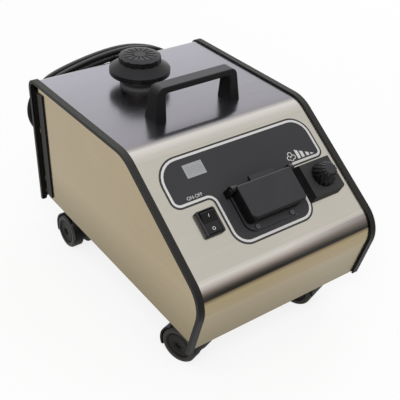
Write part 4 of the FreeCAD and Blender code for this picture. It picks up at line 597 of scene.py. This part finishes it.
def piece(name, mesh, body, finish, smooth=False):
    data = bpy.data.meshes.new(name)
    mesh.to_mesh(data)
    mesh.free()
    data.materials.append(FINISHES[finish])
    if smooth:
        for face in data.polygons:
            face.use_smooth = True
    made = bpy.data.objects.new(name, data)
    bpy.context.scene.collection.objects.link(made)
    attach(made, body)
    return made


def rounded_loop(corners, radii, inset, steps=CORNER_STEPS):
    """A loop of straight sides and round corners, moved in by inset. Corners go clockwise in u and s."""
    count = len(corners)
    sides = []
    for i in range(count):
        start, end = Vector(corners[i]), Vector(corners[(i + 1) % count])
        along = (end - start).normalized()
        sides.append((start + Vector((-along.y, along.x)) * inset, along))
    loop = []
    for i in range(count):
        (p, d), (q, e) = sides[i - 1], sides[i]
        turn = d.x * e.y - d.y * e.x
        spot = p + d * (((q.x - p.x) * e.y - (q.y - p.y) * e.x) / turn)
        radius = max(radii[i] - inset if turn > 0 else radii[i] + inset, CORNER_LEAST)
        middle = spot + (e - d).normalized() * radius * math.sqrt(2)
        first = spot - d * radius - middle
        second = spot + e * radius - middle
        for k in range(steps + 1):
            angle = math.pi / 2 * k / steps
            loop.append(middle + first * math.cos(angle) + second * math.sin(angle))
    return loop


def slope_verts(mesh, points, h):
    return [mesh.verts.new(row(on_slope(u, s, h))) for u, s in points]


def slope_band(mesh, outer, inner, low, high):
    """A flat printed band between two loops, with a little height."""
    rings = [slope_verts(mesh, outer, low), slope_verts(mesh, outer, high),
             slope_verts(mesh, inner, high), slope_verts(mesh, inner, low)]
    for first, second in zip(rings, rings[1:]):
        for i in range(len(first)):
            mesh.faces.new((first[i - 1], first[i], second[i], second[i - 1]))


def slope_plate(mesh, points, low, high):
    foot, top = slope_verts(mesh, points, low), slope_verts(mesh, points, high)
    mesh.faces.new(top)
    for i in range(len(top)):
        mesh.faces.new((foot[i - 1], foot[i], top[i], top[i - 1]))


def disc_points(u, s, radius):
    angles = [2 * math.pi * i / DISC_STEPS for i in range(DISC_STEPS)]
    return [(u + radius * math.cos(angle), s + radius * math.sin(angle)) for angle in angles]


LABEL_CORNERS = [
    (LABEL_LEFT, LABEL_TOP), (LABEL_RIGHT, LABEL_TOP), (LABEL_RIGHT, WING_RIGHT), (LOBE_RIGHT, WING_RIGHT),
    (LOBE_RIGHT, LOBE_FOOT), (LOBE_LEFT, LOBE_FOOT), (LOBE_LEFT, WING_LEFT), (LABEL_LEFT, WING_LEFT),
]
BORDER_INSETS, EDGE_INSETS = (2.4, 5.6), (0.05, 1.1)
INK_SUNK, INK_PROUD, INK_STEP = 0.02, 0.04, 0.01
MARK_PROUD = 0.03
INK_LOW, INK_TOP = LABEL_THICK - INK_SUNK, LABEL_THICK + INK_PROUD
BAR_STARTS, BAR_WIDE, BAR_END = (84.0, 91.0, 99.0, 106.0), 4.6, 112.0
BAR_TALL, BAR_LEAST, BAR_FOOT = 13.4, 0.8, 79.3
PUFF = ((70.6, 74.6, 3.2), (74.4, 70.2, 3.6), (78.2, 74.8, 3.4), (74.4, 76.6, 3.2))
PUFF_LINE = 1.1
CAPTION, CAPTION_TALL, CAPTION_PLACE = "ON-OFF", 6.2, (-83.5, 78.3)


def label_line(name, insets, finish):
    line = bmesh.new()
    outer, inner = [rounded_loop(LABEL_CORNERS, LABEL_RADII, inset) for inset in insets]
    slope_band(line, outer, inner, INK_LOW, INK_TOP)
    piece(name, line, "chassis", finish)


def label_prints():
    label_line("label_border", BORDER_INSETS, "white_ink")
    label_line("label_edge", EDGE_INSETS, "line_ink")
    bars = bmesh.new()
    for start in BAR_STARTS:
        tall = [BAR_TALL * (BAR_END - u) / (BAR_END - BAR_STARTS[0]) for u in (start, start + BAR_WIDE)]
        corners = [(start, BAR_FOOT), (start, BAR_FOOT - tall[0]),
                   (start + BAR_WIDE, BAR_FOOT - max(tall[1], BAR_LEAST)), (start + BAR_WIDE, BAR_FOOT)]
        slope_plate(bars, corners, INK_LOW, INK_TOP)
    piece("steam_bars", bars, "chassis", "white_ink")
    puff, hollow = bmesh.new(), bmesh.new()
    for u, s, radius in PUFF:
        slope_plate(puff, disc_points(u, s, radius), INK_LOW, INK_TOP)
        slope_plate(hollow, disc_points(u, s, radius - PUFF_LINE), INK_TOP - INK_STEP, INK_TOP + MARK_PROUD)
    piece("steam_puff", puff, "chassis", "white_ink")
    piece("steam_puff_hollow", hollow, "chassis", "film")


def letters(name, words, size, place, body, finish):
    """Generic words as a thin mesh, laid on the slope panel."""
    curve = bpy.data.curves.new(name + "_outline", "FONT")
    curve.body = words
    curve.size = size * MM
    curve.align_x = "CENTER"
    curve.align_y = "CENTER"
    curve.extrude = MARK_PROUD * MM
    holder = bpy.data.objects.new(name + "_outline", curve)
    bpy.context.scene.collection.objects.link(holder)
    bpy.context.view_layer.update()
    data = bpy.data.meshes.new_from_object(holder.evaluated_get(bpy.context.evaluated_depsgraph_get()))
    bpy.data.objects.remove(holder)
    data.transform(place)
    data.materials.clear()
    data.materials.append(FINISHES[finish])
    made = bpy.data.objects.new(name, data)
    bpy.context.scene.collection.objects.link(made)
    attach(made, body)
    return made


def slope_place(u, s, h):
    return Matrix.Translation(row(on_slope(u, s, h))) @ Matrix.Rotation(SLOPE, 4, "X")


# Ghost segments of a three-digit display
SEGMENTS = (((-1, 1), (1, 1)), ((-1, 0), (1, 0)), ((-1, -1), (1, -1)), ((-1, 0), (-1, 1)), ((1, 0), (1, 1)),
            ((-1, -1), (-1, 0)), ((1, -1), (1, 0)))
DIGIT_OFFSETS, DIGIT_HALF_WIDE, DIGIT_HALF_TALL = (-8.0, 0.0, 8.0), 2.2, 4.6
SEGMENT_GAP, SEGMENT_HALF = 0.5, 0.45


def display_digits():
    mesh = bmesh.new()
    middle_u, middle_s = sum(LCD_U) / 2, sum(LCD_S) / 2
    for offset in DIGIT_OFFSETS:
        for ends in SEGMENTS:
            middle = Vector((middle_u + offset, middle_s))
            start, end = [middle + Vector((DIGIT_HALF_WIDE * x, -DIGIT_HALF_TALL * y)) for x, y in ends]
            along = (end - start).normalized()
            start, end = start + along * SEGMENT_GAP, end - along * SEGMENT_GAP
            side = Vector((-along.y, along.x)) * SEGMENT_HALF
            corners = [start + side, end + side, end - side, start - side]
            slope_plate(mesh, corners, LCD_PROUD - INK_SUNK, LCD_PROUD + MARK_PROUD)
    piece("display_digits", mesh, "chassis", "segment_ink")


ROCKER_MARKS, MARK_TALL, MARK_OFF = (("mark_on", 1, "I"), ("mark_off", -1, "O")), 6.0, 8.2


def rocker_marks():
    """The marks lie on the two halves of the rocker, each half tilted from the ridge between them."""
    pressed = slope_place(SWITCH_U, SWITCH_S, 0) @ Matrix.Rotation(ROCKER_TILT, 4, "X")
    height = ROCKER_RIDGE + MARK_OFF * math.tan(ROCKER_TILT) + INK_SUNK
    for name, sign, words in ROCKER_MARKS:
        spot = Matrix.Translation(Vector((0, sign * MARK_OFF, height)) * MM)
        place = pressed @ spot @ Matrix.Rotation(sign * ROCKER_TILT, 4, "X")
        letters(name, words, MARK_TALL, place, "rocker", "mark_ink")


def turned_rings(mesh, profile, axis, centre, steps=RING_STEPS):
    """A turned form, closed from last ring to first. Its profile is radius and height along the axis."""
    axis = Vector(axis).normalized()
    side = axis.orthogonal().normalized()
    other = axis.cross(side)
    rings = []
    for radius, height in profile:
        ring = []
        for i in range(steps):
            angle = 2 * math.pi * i / steps
            spoke = side * math.cos(angle) + other * math.sin(angle)
            ring.append(mesh.verts.new(row(Vector(centre) + axis * height + spoke * radius)))
        rings.append(ring)
    for first, second in zip(rings, rings[1:] + rings[:1]):
        for i in range(steps):
            mesh.faces.new((first[i - 1], first[i], second[i], second[i - 1]))


# Raised ring and hub disc on a wheel's outer face
RING_PROFILE = (
    (18.4, 21.4), (18.5, 22.2), (18.9, 22.5), (22.4, 22.5), (23.5, 22.1),
    (24.4, 21.1), (24.8, 19.9), (24.4, 19.8), (22.8, 21.6), (18.8, 21.6),
)
DISC_PROFILE = ((5.2, 20.4), (5.2, 21.1), (16.4, 20.9), (17.0, 20.4))


def wheel_faces():
    for name, (x, y, turn) in CASTORS.items():
        angle = math.radians(turn)
        hub = Vector((x - CASTOR_TRAIL * math.sin(angle), y + CASTOR_TRAIL * math.cos(angle), WHEEL_R))
        for side, sign in (("left", -1), ("right", 1)):
            axis = Vector((sign * math.cos(angle), sign * math.sin(angle), 0))
            body = name + "_wheel_" + side
            ring = bmesh.new()
            turned_rings(ring, RING_PROFILE, axis, hub)
            piece(body + "_ring", ring, body, "ring", True)
            disc = bmesh.new()
            turned_rings(disc, DISC_PROFILE, axis, hub)
            piece(body + "_disc", disc, body, "wheel", True)


# Ribbed sleeve at the gland
SLEEVE_GRIP, SLEEVE_FOOT_R, SLEEVE_R, SLEEVE_TAPER, SLEEVE_OVER = 0.2, 7.2, 7.0, 0.24, 1.0
SLEEVE_RIBS, RIB_PITCH, GROOVE_DEEP, SLEEVE_STEPS = 7, 3.2, 0.8, 40
RIB_ENDS = (1.6, 2.0, 2.9)


def strain_relief():
    mesh = bmesh.new()
    inner = CORD_R - SLEEVE_GRIP
    foot = GLAND_REACH - SLEEVE_OVER
    profile = [(inner, foot), (SLEEVE_FOOT_R, foot)]
    for i in range(SLEEVE_RIBS):
        at = GLAND_REACH + SLEEVE_OVER + i * RIB_PITCH
        radius = SLEEVE_R - SLEEVE_TAPER * i
        groove = radius - GROOVE_DEEP
        profile += [(radius, at), (radius, at + RIB_ENDS[0])]
        profile += [(groove, at + RIB_ENDS[1]), (groove, at + RIB_ENDS[2])]
    profile.append((inner, profile[-1][1]))
    turned_rings(mesh, profile, rear_out(), gland_point(0), SLEEVE_STEPS)
    piece("strain_relief", mesh, "chassis", "cord")


CROSS_LONG, CROSS_WIDE = 3.6, 0.8


# Painted shade: dark flat crosses laid on the socket screw heads stand for the shaded slots
def screw_recesses():
    mesh = bmesh.new()
    for u, s in SOCKET_SCREWS:
        for wide, tall in ((CROSS_LONG, CROSS_WIDE), (CROSS_WIDE, CROSS_LONG)):
            left, right, low, high = u - wide / 2, u + wide / 2, s - tall / 2, s + tall / 2
            corners = [(left, low), (left, high), (right, high), (right, low)]
            slope_plate(mesh, corners, SOCKET_SCREW_TOP - INK_SUNK, SOCKET_SCREW_TOP + MARK_PROUD)
    piece("socket_screw_slots", mesh, "chassis", "recess")


label_prints()
caption_spot = slope_place(*CAPTION_PLACE, INK_TOP)
letters("switch_caption", CAPTION, CAPTION_TALL, caption_spot, "chassis", "white_ink")
display_digits()
rocker_marks()
wheel_faces()
strain_relief()
screw_recesses()


# Floor, light and background, in metres and watts
SEEN_RAYS = ("Is Camera Ray", "Is Glossy Ray", "Is Transmission Ray")
WHITE_SHARE = 0.82
FLOOR_HALF, FLOOR_DROP, FLOOR_ROUGH = 6, 0.0002, 0.9
FLOOR_CLOUD, FLOOR_CLOUD_SHARE, FLOOR_TONES = 3, 0.2, ((250, 250, 250), (246, 246, 246))
WORLD_LIGHT, WORLD_SEEN = 0.72, 1.0
LAMP_TARGET = (0, 0, 0.15)
LAMPS = (
    ("key", (-1.1, -1.3, 2.0), 1.2, 20, True),
    ("fill", (1.8, 1.1, 1.3), 1.4, 8, False),
)


def whitened(finish):
    """Lifts a floor towards white where the camera, metal or glass sees it, and keeps a faint shadow."""
    lit = finish.end.inputs[0].links[0].from_socket
    seen = [finish.node("ShaderNodeLightPath", output=ray) for ray in SEEN_RAYS]
    share = (seen[0] + seen[1] + seen[2]).clamp() * WHITE_SHARE
    glow = finish.node("ShaderNodeEmission", {}, {"Color": (1, 1, 1, 1), "Strength": 1.0})
    mixed = finish.node("ShaderNodeMixShader", {}, {0: share, 1: Field(finish, lit), 2: glow})
    finish.tree.links.new(mixed.socket, finish.end.inputs[0])


def make_stage():
    mesh = bmesh.new()
    bmesh.ops.create_grid(mesh, x_segments=1, y_segments=1, size=FLOOR_HALF)
    data = bpy.data.meshes.new("floor")
    mesh.to_mesh(data)
    mesh.free()
    f = Finish("floor_white")
    share = f.noise(FLOOR_CLOUD) * FLOOR_CLOUD_SHARE
    colour = f.blend(share, tone(*FLOOR_TONES[0]), tone(*FLOOR_TONES[1]))
    data.materials.append(f.done(colour, FLOOR_ROUGH))
    whitened(f)
    floor = bpy.data.objects.new("floor", data)
    floor.location.z = -FLOOR_DROP
    bpy.context.scene.collection.objects.link(floor)


def make_lamp(name, place, size, power, mirrored):
    light = bpy.data.lights.new(name, "AREA")
    light.shape = "DISK"
    light.size = size
    light.energy = power
    holder = bpy.data.objects.new(name, light)
    holder.location = place
    holder.visible_glossy = mirrored
    holder.rotation_mode = "QUATERNION"
    holder.rotation_quaternion = (Vector(LAMP_TARGET) - Vector(place)).to_track_quat("-Z", "Y")
    bpy.context.scene.collection.objects.link(holder)


def make_world():
    world = bpy.data.worlds.new("studio")
    bpy.context.scene.world = world
    world.use_nodes = True
    tree = world.node_tree
    tree.nodes.clear()
    path = tree.nodes.new("ShaderNodeLightPath")
    seen = path.outputs[SEEN_RAYS[0]]
    for ray in SEEN_RAYS[1:]:
        either = tree.nodes.new("ShaderNodeMath")
        either.operation = "MAXIMUM"
        tree.links.new(seen, either.inputs[0])
        tree.links.new(path.outputs[ray], either.inputs[1])
        seen = either.outputs[0]
    strength = tree.nodes.new("ShaderNodeMapRange")
    strength.inputs["To Min"].default_value = WORLD_LIGHT
    strength.inputs["To Max"].default_value = WORLD_SEEN
    tree.links.new(seen, strength.inputs["Value"])
    sky = tree.nodes.new("ShaderNodeBackground")
    sky.inputs["Color"].default_value = (1, 1, 1, 1)
    tree.links.new(strength.outputs[0], sky.inputs["Strength"])
    end = tree.nodes.new("ShaderNodeOutputWorld")
    tree.links.new(sky.outputs[0], end.inputs[0])


make_stage()
make_world()
for lamp in LAMPS:
    make_lamp(*lamp)
bpy.context.scene.view_settings.view_transform = "Standard"
